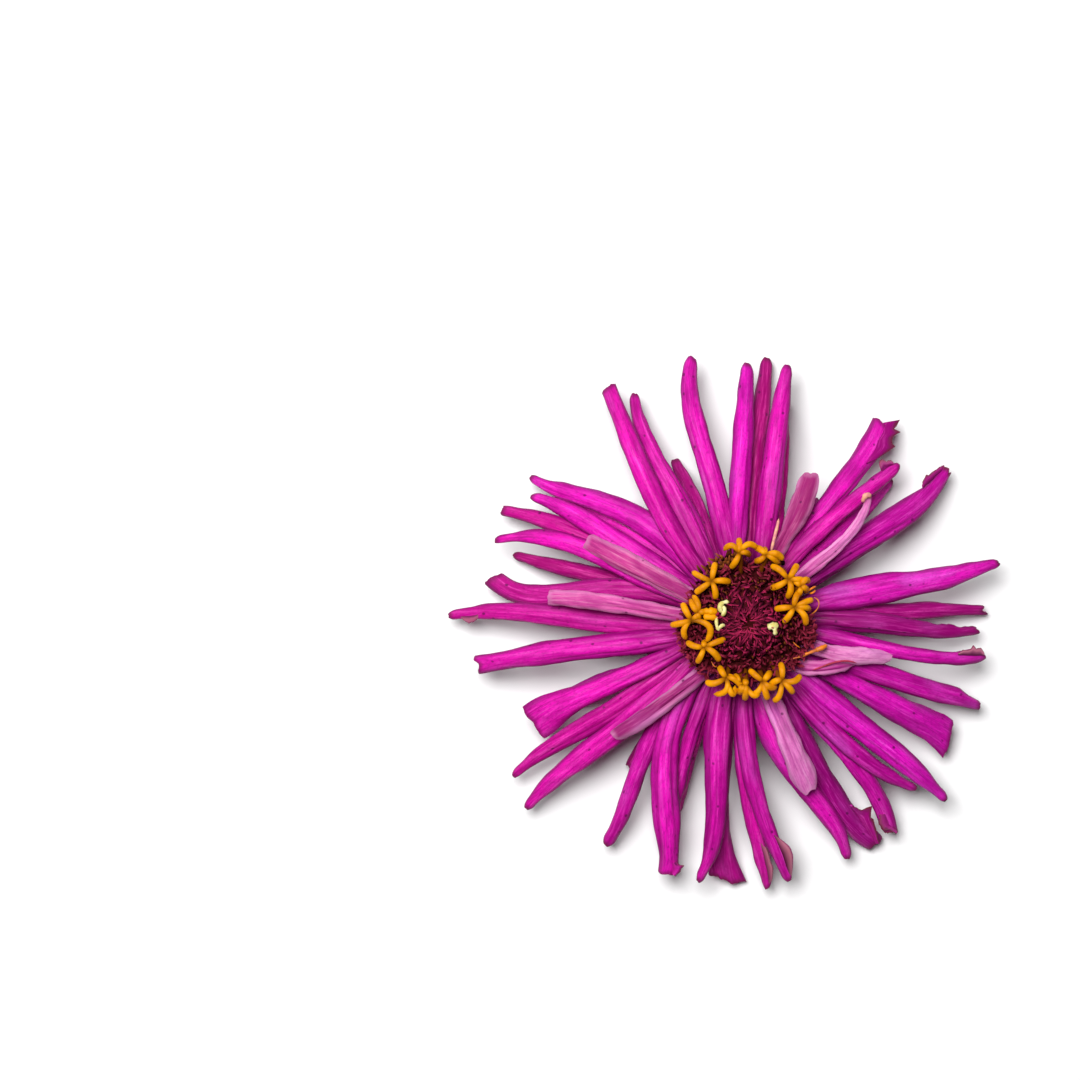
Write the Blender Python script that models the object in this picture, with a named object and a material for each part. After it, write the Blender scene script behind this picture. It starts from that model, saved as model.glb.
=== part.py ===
"""A picked zinnia flower head of the cactus type, lying face up on the cup that holds its petals.

Run with: blender --background --python part.py

Four nodes, all on one body:
    green_cup       the cut-off cup of overlapping bracts, with the seat of the florets inside it
    ray_florets     every petal, magenta and pale, fused into the ring that their roots form
    chaff_disc      the dark dome of chaff in the middle, and the tufts of chaff round it
    disc_florets    the ring of small yellow florets that have opened into five-lobed stars

Lengths are in millimetres here, and bearings in degrees from +X towards +Y. The flower faces +Z.
"""

import math

import bmesh
import bpy
from mathutils import Matrix, Vector

MM = 0.001
GAP = 0.3  # air between two nodes that touch on the real flower

# ---------------------------------------------------------------- driving dimensions
BLADE = 0.6  # thickness of a petal, thicker than life so that it stays a sound solid
ROOT_REACH = 9.2  # how far from the axis a petal's root lies, inside the ring
ROOT_WIDTH = 1.9
PETAL_STATIONS = 7  # stretches along a petal
PETAL_ACROSS = 3  # stretches across it
ARCH = math.radians(52)  # how far each margin of a petal turns down

# per tier, from the lowest petals to the young pale ones that stand over the rest
ROOT_HEIGHT = (12.7, 13.6, 14.6, 15.4)
TIP_HEIGHT = (2.4, 4.6, 7.2, 14.2)
LIFT = (0.3, 0.9, 1.6, 2.2)  # how far a petal bows up on its way out
DROOP = 1.9  # the power of the distance from the disc by which petals sink to their tips

RING_INNER, RING_OUTER = 6.9, 11.0  # the ring of petal roots
RING_FOOT, RING_TOP = 11.8, 16.4
STEPS = 32  # sides of a turned piece

CUP_FOOT = 4.6  # radius of the flat spot that the flower rests on
CUP_WIDEST = 8.2
CUP_SHOULDER = RING_FOOT - GAP
CUP_BELLY = 0.62  # share of the shoulder's height at which the cup is widest
CUP_TAPER = 1.0  # how far it would draw in again over its whole height
SEAT_RADIUS = RING_INNER - GAP  # the receptacle's neck, inside the ring
SEAT_TOP = RING_TOP - 0.2
BRACT_ROWS = (  # bracts in the row, height of their base and tip, width, first bearing
    (8, 0.9, 5.6, 5.4, 0.0),
    (9, 2.8, 8.4, 5.6, 18.0),
    (10, 5.2, 11.0, 5.4, 4.0),
)
BRACT = 0.7  # thickness of a bract
BRACT_SINK, BRACT_STAND = 0.15, 0.85  # how far its base is sunk in the cup and its tip stands off it

DISC_FOOT = RING_TOP + GAP
DISC_PLATE = 0.7  # thickness of the plate that the dome and the tufts grow on
DISC_RIM = 11.2
DOME_RADIUS, DOME_RISE = 6.7, 3.1
PIT_RADIUS, PIT_DEPTH = 1.3, 0.9  # the dimple at the dome's middle
GOLDEN_TURN = 137.508  # degrees from one scale to the next, as on any daisy's disc
CHAFF_SPIKES, CHAFF_WIDTH = 46, 1.2
CHAFF_INNER = 4.3  # within this radius the spikes are longer and lean to the middle
TUFTS, TUFT_REACH, TUFT_HEIGHT, TUFT_WIDTH = 30, 10.7, 2.1, 1.5
TUFT_CLEAR = 13.0  # degrees that a tuft keeps from a star's bearing

FLORET_FOOT = DISC_FOOT + DISC_PLATE + GAP
FLORET_RING = (7.6, 9.4)  # inner and outer radius of the ring that the tubes grow from
FLORET_RING_TOP = FLORET_FOOT + 1.1
TUBE_FOOT, TUBE_MOUTH = 0.6, 0.8  # radius of a floret's tube
STAR_HEIGHT = 20.9
STAR_TURN = 23.0  # degrees that each star is turned from the one before
STAR_TILT = 1.6  # degrees that a star leans outwards for each millimetre past the dome
LOBE_LENGTH, LOBE_WIDTH, LOBE_THICK = 2.8, 1.25, 0.9
LOBE_WIDEST = 0.62  # share of a lobe's length at which it is widest and thickest
NOTCH = 0.75  # radius of the notches between the lobes
STARS = (  # where each star's throat is: distance from the axis and bearing
    (11.9, 95), (12.0, 76), (10.5, 44), (11.3, 30), (9.0, 14), (9.1, 131), (9.6, 156),
    (9.0, 178), (8.9, 211), (10.3, 246), (12.3, 258), (11.8, 272), (10.8, 287), (11.9, 303),
)

# Each petal: name, tier, reach of the tip, bearings at root, a third, two thirds and tip,
# and widths at a third, two thirds and the tip.
PETALS = (
    ("p01", 2, 46.0, (17.0, 13.9, 12.4, 12.7), (5.2, 4.1, 1.1)),
    ("p02", 0, 43.0, (8.0, 4.2, 2.9, 2.4), (2.6, 2.8, 1.6)),
    ("p03", 1, 41.5, (2.0, 0.0, -2.6, -2.3), (3.9, 2.8, 1.2)),
    ("p04", 2, 42.7, (-9.5, -11.0, -11.0, -7.9), (2.7, 2.2, 2.6)),
    ("p05", 3, 26.2, (-18.0, -20.0, -16.6, -13.9), (2.4, 2.8, 2.3)),
    ("p06", 3, 20.7, (-46.0, -36.5, -26.5, -19.5), (2.4, 2.4, 1.2)),
    ("p07", 1, 44.5, (-22.0, -21.5, -20.7, -19.8), (3.7, 3.5, 2.2)),
    ("p08", 1, 42.0, (-33.0, -31.0, -29.8, -29.5), (3.0, 4.6, 6.2)),
    ("p09", 2, 47.5, (-47.5, -44.0, -42.0, -41.6), (4.5, 4.0, 1.6)),
    ("p10", 2, 42.3, (-56.0, -53.0, -49.5, -44.3), (3.0, 2.9, 1.4)),
    ("p11", 1, 45.6, (-58.0, -54.5, -52.9, -55.3), (3.0, 3.0, 2.7)),
    ("p12", 0, 46.3, (-66.0, -65.0, -64.0, -59.5), (3.8, 3.9, 3.8)),
    ("p13", 1, 45.8, (-81.0, -76.5, -68.5, -66.6), (4.3, 3.5, 1.6)),
    ("p14", 3, 32.0, (-74.0, -71.0, -69.8, -69.2), (3.4, 3.7, 3.6)),
    ("p15a", 1, 47.0, (-91.5, -90.8, -87.7, -85.0), (3.2, 3.0, 1.7)),
    ("p15b", 2, 46.4, (-91.0, -89.2, -84.8, -80.1), (3.2, 2.6, 1.7)),
    ("p16a", 2, 46.5, (250.0, 256.8, 261.4, 259.9), (4.5, 3.5, 1.5)),
    ("p16b", 0, 46.3, (257.0, 260.0, 262.6, 266.2), (3.0, 2.7, 5.6)),
    ("p17a", 2, 46.5, (227.0, 233.8, 246.2, 253.8), (4.0, 4.6, 3.2)),
    ("p17b", 1, 40.0, (239.0, 243.0, 247.0, 250.5), (2.5, 2.4, 1.5)),
    ("p17c", 0, 36.0, (243.0, 245.8, 248.3, 251.0), (2.0, 2.0, 1.3)),
    ("p18a", 1, 46.5, (225.0, 228.0, 234.9, 238.3), (3.0, 2.9, 1.9)),
    ("p18b", 0, 33.0, (231.0, 231.0, 231.0, 232.0), (2.6, 2.4, 1.5)),
    ("p19", 3, 30.6, (232.0, 225.5, 222.3, 220.4), (2.8, 3.0, 2.7)),
    ("p20", 1, 50.7, (215.0, 220.5, 220.2, 220.8), (4.4, 3.9, 1.6)),
    ("p21", 1, 49.0, (208.0, 213.5, 213.3, 214.1), (3.5, 3.3, 1.5)),
    ("p22a", 2, 41.5, (203.0, 205.0, 204.8, 205.6), (3.1, 3.5, 5.4)),
    ("p22b", 0, 36.0, (206.0, 204.5, 202.6, 204.0), (2.4, 2.4, 1.5)),
    ("p23", 2, 48.0, (195.0, 190.5, 189.2, 189.5), (4.1, 3.9, 3.0)),
    ("p24", 1, 52.0, (184.0, 181.0, 178.1, 178.6), (4.0, 3.3, 1.5)),
    ("p25", 3, 34.8, (176.0, 173.0, 172.5, 173.4), (2.6, 2.8, 2.7)),
    ("p26", 1, 45.6, (162.0, 164.5, 171.8, 170.4), (3.8, 3.6, 2.0)),
    ("p27a", 2, 46.0, (159.0, 156.5, 156.5, 162.3), (3.6, 3.2, 1.1)),
    ("p27b", 0, 42.2, (161.0, 162.0, 163.3, 164.0), (3.0, 2.8, 1.3)),
    ("p28a", 2, 43.4, (148.5, 148.6, 147.9, 149.6), (3.8, 3.5, 1.4)),
    ("p28b", 1, 47.0, (151.0, 151.0, 152.3, 155.5), (3.4, 3.2, 1.8)),
    ("p29", 3, 31.3, (156.0, 154.6, 154.0, 153.6), (3.3, 3.5, 3.0)),
    ("p30a", 1, 45.3, (137.5, 135.0, 141.5, 146.1), (4.3, 3.6, 1.4)),
    ("p30b", 0, 40.0, (143.0, 143.0, 145.0, 147.0), (3.4, 3.2, 1.5)),
    ("p31", 2, 47.7, (134.0, 128.5, 123.5, 120.2), (3.6, 3.4, 2.6)),
    ("p32a", 1, 44.4, (124.5, 119.0, 118.4, 115.6), (4.3, 2.9, 1.6)),
    ("p32b", 0, 31.0, (115.0, 113.0, 112.5, 113.0), (3.1, 2.8, 1.8)),
    ("p33", 2, 47.2, (105.5, 103.2, 104.0, 101.0), (3.7, 3.5, 2.3)),
    ("p34", 2, 45.3, (99.0, 93.3, 90.5, 89.2), (3.6, 3.4, 2.2)),
    ("p35", 0, 46.6, (87.5, 87.0, 85.3, 84.7), (3.3, 3.1, 1.9)),
    ("p36", 2, 45.6, (76.0, 79.3, 80.6, 80.4), (3.8, 3.6, 1.9)),
    ("p37", 0, 39.5, (68.5, 73.5, 77.0, 79.5), (2.8, 2.7, 1.5)),
    ("p38a", 3, 28.3, (67.0, 65.5, 65.0, 66.4), (2.3, 3.0, 3.7)),
    ("p38b", 2, 25.0, (62.0, 60.0, 59.0, 58.0), (2.4, 2.4, 1.8)),
    ("p39", 1, 43.2, (57.0, 55.3, 53.2, 54.6), (3.0, 3.6, 4.2)),
    ("p40", 2, 38.6, (55.0, 51.5, 47.8, 45.2), (3.0, 2.5, 2.0)),
    ("p41", 0, 36.2, (47.0, 44.0, 42.5, 43.2), (2.8, 2.7, 1.2)),
    ("p42", 3, 30.7, (38.5, 39.0, 40.0, 45.4), (2.2, 1.9, 1.2)),
    ("p43a", 1, 45.0, (35.0, 34.6, 33.3, 36.7), (4.3, 4.5, 1.3)),
    ("p43b", 0, 36.0, (31.0, 31.5, 31.5, 33.5), (2.6, 2.5, 1.4)),
)


# ---------------------------------------------------------------- tools
def linear(channel):
    return channel / 12.92 if channel <= 0.04045 else ((channel + 0.055) / 1.055) ** 2.4


def material(name, colour, roughness):
    """A Principled material of one sRGB colour, written as six hex digits."""
    made = bpy.data.materials.new(name)
    made.use_nodes = True
    shader = made.node_tree.nodes["Principled BSDF"]
    channels = [linear(int(colour[i:i + 2], 16) / 255) for i in (0, 2, 4)]
    shader.inputs["Base Color"].default_value = (*channels, 1.0)
    shader.inputs["Roughness"].default_value = roughness
    shader.inputs["Metallic"].default_value = 0.0
    return made


def add_object(name, bm, collection=None):
    """An object with the bmesh's shape, in the given collection or the scene's own."""
    mesh = bpy.data.meshes.new(name)
    bm.to_mesh(mesh)
    bm.free()
    made = bpy.data.objects.new(name, mesh)
    (collection or bpy.context.scene.collection).objects.link(made)
    return made


def turned(profile):
    """A bmesh turned about the Z axis from (radius, height) points round a closed section.

    A section that starts and ends on the axis is left open there.
    """
    bm = bmesh.new()
    corners = [bm.verts.new((r * MM, 0.0, z * MM)) for r, z in profile]
    edges = [bm.edges.new(pair) for pair in zip(corners, corners[1:])]
    if profile[0][0] > 0.0:
        edges.append(bm.edges.new((corners[-1], corners[0])))
    bmesh.ops.spin(bm, geom=corners + edges, cent=(0, 0, 0), axis=(0, 0, 1), angle=math.tau, steps=STEPS)
    bmesh.ops.remove_doubles(bm, verts=bm.verts, dist=1e-6)
    bmesh.ops.recalc_face_normals(bm, faces=bm.faces)
    return bm


def bent_sheet(name, along, across, surface, thickness, collection):
    """A thin blade: a grid laid on surface(t, s), split into triangles and thickened.

    t goes from 0 at the root to 1 at the tip and s from -1 to 1 across. The split comes before
    the thickness, so both faces have the same triangles.
    """
    bm = bmesh.new()
    bmesh.ops.create_grid(bm, x_segments=along, y_segments=across, size=1.0)
    for vertex in bm.verts:
        vertex.co = surface((vertex.co.x + 1.0) / 2.0, vertex.co.y)
    bmesh.ops.triangulate(bm, faces=bm.faces)
    made = add_object(name, bm, collection)
    solidify = made.modifiers.new("thickness", "SOLIDIFY")
    solidify.thickness = thickness * MM
    solidify.offset = 0.0
    solidify.use_even_offset = True
    solidify.thickness_clamp = 1.0
    return made


def fuse(body, pieces):
    """Joins a collection's pieces to the body by one Boolean union, and removes the pieces."""
    union = body.modifiers.new("fused", "BOOLEAN")
    union.operation = "UNION"
    union.operand_type = "COLLECTION"
    union.collection = pieces
    union.solver = "MANIFOLD"
    bpy.context.view_layer.update()
    evaluated = body.evaluated_get(bpy.context.evaluated_depsgraph_get())
    whole = bpy.data.meshes.new_from_object(evaluated)
    body.modifiers.remove(union)
    body.data = whole
    for piece in list(pieces.objects):
        bpy.data.objects.remove(piece, do_unlink=True)
    bpy.data.collections.remove(pieces)


def islands(bm):
    """The bmesh's separate surfaces, as lists of points, the largest first."""
    waiting = set(bm.verts)
    found = []
    while waiting:
        island = [waiting.pop()]
        for vertex in island:
            for edge in vertex.link_edges:
                other = edge.other_vert(vertex)
                if other in waiting:
                    waiting.remove(other)
                    island.append(other)
        found.append(island)
    return sorted(found, key=len, reverse=True)


def finish(body, surface, crease=35.0):
    """Fills the hollows that the union sealed, splits faces into triangles, sets material and shading."""
    bm = bmesh.new()
    bm.from_mesh(body.data)
    for sealed in islands(bm)[1:]:
        bmesh.ops.delete(bm, geom=sealed, context="VERTS")
    bmesh.ops.triangulate(bm, faces=[f for f in bm.faces if len(f.verts) > 3])
    bm.to_mesh(body.data)
    bm.free()
    body.data.materials.clear()
    body.data.materials.append(surface)
    body.data.shade_smooth()
    body.data.set_sharp_from_angle(angle=math.radians(crease))


def polar(radius, bearing, height):
    """A point in metres from millimetres and degrees."""
    turn = math.radians(bearing)
    return Vector((radius * math.cos(turn), radius * math.sin(turn), height)) * MM


def group_of(name):
    """An empty collection for the pieces of one union."""
    group = bpy.data.collections.new(name)
    bpy.context.scene.collection.children.link(group)
    return group


# ---------------------------------------------------------------- petals
def through(values, t):
    """The cubic that takes the four values at 0, 1/3, 2/3 and 1, read at t."""
    a, b, c, d = values
    u = 3.0 * t
    return (
        a * (1 - u) * (2 - u) * (3 - u) / 6
        + b * u * (2 - u) * (3 - u) / 2
        - c * u * (1 - u) * (3 - u) / 2
        + d * u * (1 - u) * (2 - u) / 6
    )


def eased(values, t):
    """The four values at 0, 1/3, 2/3 and 1, joined by half cosine waves, read at t."""
    place = min(max(3.0 * t, 0.0), 2.999999)
    index = int(place)
    blend = (1 - math.cos(math.pi * (place - index))) / 2
    return values[index] + (values[index + 1] - values[index]) * blend


def petal_height(tier, reach, radius):
    """Level until the petal is clear of the disc's rim, then a low bow down to the tip."""
    root, tip = ROOT_HEIGHT[tier], TIP_HEIGHT[tier]
    free = max(radius - DISC_RIM, 0.0) / (reach - DISC_RIM)
    return root + (tip - root) * free ** DROOP + LIFT[tier] * math.sin(math.pi * free)


def petal_surface(tier, reach, bearings, widths):
    """surface(t, s) of one petal: a spine that bends as the bearings say, with turned-down margins."""
    def spine(t):
        radius = ROOT_REACH + (reach - ROOT_REACH) * t
        return polar(radius, through(bearings, t), petal_height(tier, reach, radius))

    def surface(t, s):
        ahead = (spine(min(t + 0.02, 1.0)) - spine(max(t - 0.02, 0.0))).normalized()
        side = Vector((0, 0, 1)).cross(ahead).normalized()
        up = ahead.cross(side)
        radius = eased((ROOT_WIDTH, *widths), t) / 2 * MM / math.sin(ARCH)
        angle = s * ARCH
        return spine(t) + side * (radius * math.sin(angle)) - up * (radius * (1 - math.cos(angle)))

    return surface


def make_ray_florets(surface):
    ring = add_object("ray_florets", turned((
        (RING_INNER, RING_FOOT), (RING_OUTER - 1.2, RING_FOOT), (RING_OUTER, RING_FOOT + 1.0),
        (RING_OUTER, RING_TOP - 0.5), (RING_OUTER - 0.6, RING_TOP), (RING_INNER, RING_TOP),
    )))
    blades = group_of("petals")
    for name, tier, reach, bearings, widths in PETALS:
        bent_sheet(
            name, PETAL_STATIONS, PETAL_ACROSS, petal_surface(tier, reach, bearings, widths), BLADE, blades
        )
    fuse(ring, blades)
    finish(ring, surface)
    return ring


# ---------------------------------------------------------------- green cup
def cup_radius(height):
    """The bell's outline: from the flat foot out to the widest place and in again to the shoulder."""
    share = height / CUP_SHOULDER
    swell = math.sin(math.pi / 2 * min(share / CUP_BELLY, 1.0))
    return CUP_FOOT + (CUP_WIDEST - CUP_FOOT) * swell - CUP_TAPER * max(share - CUP_BELLY, 0.0)


def bract_surface(base, tip, width, bearing):
    """surface(t, s) of one bract: hugs the bell at its base and stands off it at its rounded tip."""
    def surface(t, s):
        height = base + (tip - base) * t
        half = width / 2 * math.sin(math.pi * (0.28 + 0.60 * t))
        radius = cup_radius(height) - BRACT_SINK + (BRACT_SINK + BRACT_STAND) * t
        return polar(radius, bearing + math.degrees(s * half / radius), height)

    return surface


def make_green_cup(surface):
    heights = [CUP_SHOULDER * i / 7 for i in range(8)]
    cup = add_object("green_cup", turned(
        [(0.0, 0.0)]
        + [(cup_radius(h), h) for h in heights]
        + [(SEAT_RADIUS, CUP_SHOULDER), (SEAT_RADIUS, SEAT_TOP - 0.6), (SEAT_RADIUS - 0.6, SEAT_TOP)]
        + [(0.0, SEAT_TOP)]))
    bracts = group_of("bracts")
    for row, (count, base, tip, width, first) in enumerate(BRACT_ROWS):
        for i in range(count):
            bearing = first + 360.0 * i / count
            bent_sheet(f"bract_{row}_{i}", 3, 2, bract_surface(base, tip, width, bearing), BRACT, bracts)
    fuse(cup, bracts)
    finish(cup, surface)
    return cup


# ---------------------------------------------------------------- chaff
def dome_height(radius):
    """The dome over the disc's plate, with a shallow pit at its middle."""
    rise = DOME_RISE * math.sqrt(max(1.0 - (radius / DOME_RADIUS) ** 2.6, 0.0))
    pit = PIT_DEPTH * math.exp(-(radius / PIT_RADIUS) ** 2)
    return DISC_FOOT + DISC_PLATE + rise - pit


def spike(name, foot, along, length, width, collection):
    """A four-sided spike of chaff, sunk a fifth of its length into what it stands on."""
    bm = bmesh.new()
    bmesh.ops.create_cone(
        bm, cap_ends=True, cap_tris=True, segments=4, radius1=width / 2 * MM, radius2=0.12 * width * MM,
        depth=length * 1.25 * MM,
    )
    bmesh.ops.translate(bm, verts=bm.verts, vec=(0, 0, length * 0.375 * MM))
    made = add_object(name, bm, collection)
    made.matrix_world = Matrix.Translation(foot) @ along.to_track_quat("Z", "Y").to_matrix().to_4x4()
    return made


def clear_of_stars(bearing):
    """True where no star's tube leans out over this bearing."""
    return all(abs((bearing - star + 180) % 360 - 180) > TUFT_CLEAR for _, star in STARS)


def make_chaff_disc(surface):
    floor = DISC_FOOT + DISC_PLATE
    radii = [DOME_RADIUS * (1 - (i / 7) ** 1.6) for i in range(8)]
    plate = [
        (0.0, DISC_FOOT), (DISC_RIM - 0.5, DISC_FOOT), (DISC_RIM, DISC_FOOT + 0.3),
        (DISC_RIM - 0.3, floor), (DOME_RADIUS + 0.15, floor),
    ]
    disc = add_object("chaff_disc", turned(plate + [(r, dome_height(r)) for r in radii]))
    tufts = group_of("chaff")
    for i in range(CHAFF_SPIKES):
        radius = (DOME_RADIUS - 0.9) * math.sqrt((i + 0.6) / CHAFF_SPIKES)
        bearing = i * GOLDEN_TURN
        lean, length = (-0.35, 1.15) if radius < CHAFF_INNER else (0.15, 0.8)
        foot = polar(radius, bearing, dome_height(radius))
        spike(f"chaff_{i:02d}", foot, polar(lean, bearing, 1.0), length, CHAFF_WIDTH, tufts)
    for i in range(TUFTS):
        bearing = 360.0 * i / TUFTS
        if clear_of_stars(bearing):
            foot = polar(TUFT_REACH, bearing, floor)
            spike(f"tuft_{i:02d}", foot, polar(0.25, bearing, 1.0), TUFT_HEIGHT, TUFT_WIDTH, tufts)
    fuse(disc, tufts)
    finish(disc, surface)
    return disc


# ---------------------------------------------------------------- yellow florets
def star_solid():
    """A bmesh of five pointed lobes, each ridged above and below, round a common middle."""
    bm = bmesh.new()
    crown = bm.verts.new((0, 0, LOBE_THICK / 2 * MM))
    sole = bm.verts.new((0, 0, -LOBE_THICK / 2 * MM))
    notches = [bm.verts.new(polar(NOTCH, 72.0 * k - 36.0, 0.0)) for k in range(5)]
    for k in range(5):
        turn = Matrix.Rotation(math.radians(72.0 * k), 4, "Z")
        half = LOBE_WIDTH / 2
        widest = LOBE_WIDEST * LOBE_LENGTH
        places = (
            (widest, -half, 0.0), (LOBE_LENGTH, -half / 2, 0.0),
            (LOBE_LENGTH, half / 2, 0.0), (widest, half, 0.0),
        )
        sides = [bm.verts.new(turn @ Vector(place) * MM) for place in places]
        rim = [notches[k], *sides, notches[(k + 1) % 5]]
        for centre, height in ((crown, LOBE_THICK / 2), (sole, -LOBE_THICK / 2)):
            ridge = bm.verts.new(turn @ Vector((widest, 0.0, height)) * MM)
            for pair in zip([centre, *rim], [*rim, centre]):
                bm.faces.new((*pair, ridge))
    bmesh.ops.recalc_face_normals(bm, faces=bm.faces)
    return bm


def make_star(index, reach, bearing, group):
    """One open floret: a tube that leans out from the ring, and five lobes spread at its mouth."""
    foot = polar(sum(FLORET_RING) / 2, bearing, FLORET_FOOT + 0.7)
    throat = polar(reach, bearing, STAR_HEIGHT)
    tube = bmesh.new()
    bmesh.ops.create_cone(
        tube, cap_ends=True, segments=6, radius1=TUBE_FOOT * MM, radius2=TUBE_MOUTH * MM,
        depth=(throat - foot).length,
    )
    made = add_object(f"tube_{index:02d}", tube, group)
    lean = (throat - foot).to_track_quat("Z", "Y").to_matrix().to_4x4()
    made.matrix_world = Matrix.Translation((foot + throat) / 2) @ lean
    lobes = add_object(f"lobes_{index:02d}", star_solid(), group)
    outward = Matrix.Rotation(math.radians(bearing), 4, "Z")
    tilt = Matrix.Rotation(math.radians(STAR_TILT * (reach - DOME_RADIUS)), 4, "Y")
    spread = Matrix.Rotation(math.radians(STAR_TURN * index), 4, "Z")
    lobes.matrix_world = Matrix.Translation(throat) @ outward @ tilt @ spread


def make_disc_florets(surface):
    inner, outer = FLORET_RING
    ring = add_object("disc_florets", turned((
        (inner, FLORET_FOOT), (outer, FLORET_FOOT), (outer, FLORET_RING_TOP), (inner, FLORET_RING_TOP),
    )))
    group = group_of("florets")
    for index, (reach, bearing) in enumerate(STARS):
        make_star(index, reach, bearing, group)
    fuse(ring, group)
    finish(ring, surface)
    return ring


def main():
    for old in list(bpy.data.objects):
        bpy.data.objects.remove(old, do_unlink=True)
    make_green_cup(material("green_bracts", "6E8A3A", 0.6))
    make_ray_florets(material("magenta_petals", "D01CA4", 0.55))
    make_chaff_disc(material("maroon_chaff", "5A0F2E", 0.65))
    make_disc_florets(material("yellow_florets", "F5A30A", 0.5))


main()
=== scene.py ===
"""The looks of a picked zinnia flower head of the cactus type, lying face up on a plain white floor.

Lengths are in millimetres here, and bearings in degrees from +X towards +Y. The flower faces +Z.
A blade is a thin sheet with t from 0 at its root to 1 at its tip, and s from -1 to 1 across it.
"""

import math
import random

import bpy
import numpy as np
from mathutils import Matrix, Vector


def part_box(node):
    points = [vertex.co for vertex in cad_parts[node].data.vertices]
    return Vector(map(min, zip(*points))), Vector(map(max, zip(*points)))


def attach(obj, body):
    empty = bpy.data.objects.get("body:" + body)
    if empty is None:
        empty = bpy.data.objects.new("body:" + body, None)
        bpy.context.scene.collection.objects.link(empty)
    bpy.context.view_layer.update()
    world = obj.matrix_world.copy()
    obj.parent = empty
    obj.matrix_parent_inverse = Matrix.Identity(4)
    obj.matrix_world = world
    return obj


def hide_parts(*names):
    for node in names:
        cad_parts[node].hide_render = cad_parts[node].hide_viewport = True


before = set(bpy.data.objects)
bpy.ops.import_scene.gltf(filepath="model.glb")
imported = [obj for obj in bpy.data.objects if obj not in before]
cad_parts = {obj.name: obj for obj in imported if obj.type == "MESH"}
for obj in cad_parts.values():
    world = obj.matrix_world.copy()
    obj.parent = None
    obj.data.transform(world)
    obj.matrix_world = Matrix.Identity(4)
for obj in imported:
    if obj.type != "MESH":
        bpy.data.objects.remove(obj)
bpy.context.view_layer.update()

MM = 0.001
GAP = 0.3  # air between two nodes that touch on the real flower

# ---- places, read from the frame
CUP_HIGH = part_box("green_cup")[1] / MM
CHAFF_LOW, CHAFF_HIGH = [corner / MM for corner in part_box("chaff_disc")]
FLORET_LOW, FLORET_HIGH = [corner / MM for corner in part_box("disc_florets")]

DISC_FOOT = CHAFF_LOW.z
DISC_RIM = CHAFF_HIGH.x
DISC_TOP = FLORET_LOW.z - GAP  # upper face of the disc's plate
STAR_HEIGHT = FLORET_HIGH.z - 0.7  # height of a star's throat
SEAT_TOP = CUP_HIGH.z
CUP_SHOULDER = CUP_HIGH.z - 4.7

# ---- the petals' shapes, as in the solids
ROOT_REACH = 9.2
ROOT_WIDTH = 1.9
ROOT_HEIGHT = (12.7, 13.6, 14.6, 15.4, 12.1)  # of the four tiers, then of the hidden petals
TIP_HEIGHT = (2.4, 4.6, 7.2, 14.2, 9.8)
LIFT = (0.3, 0.9, 1.6, 2.2, 0.3)
DROOP = 1.9

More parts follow.
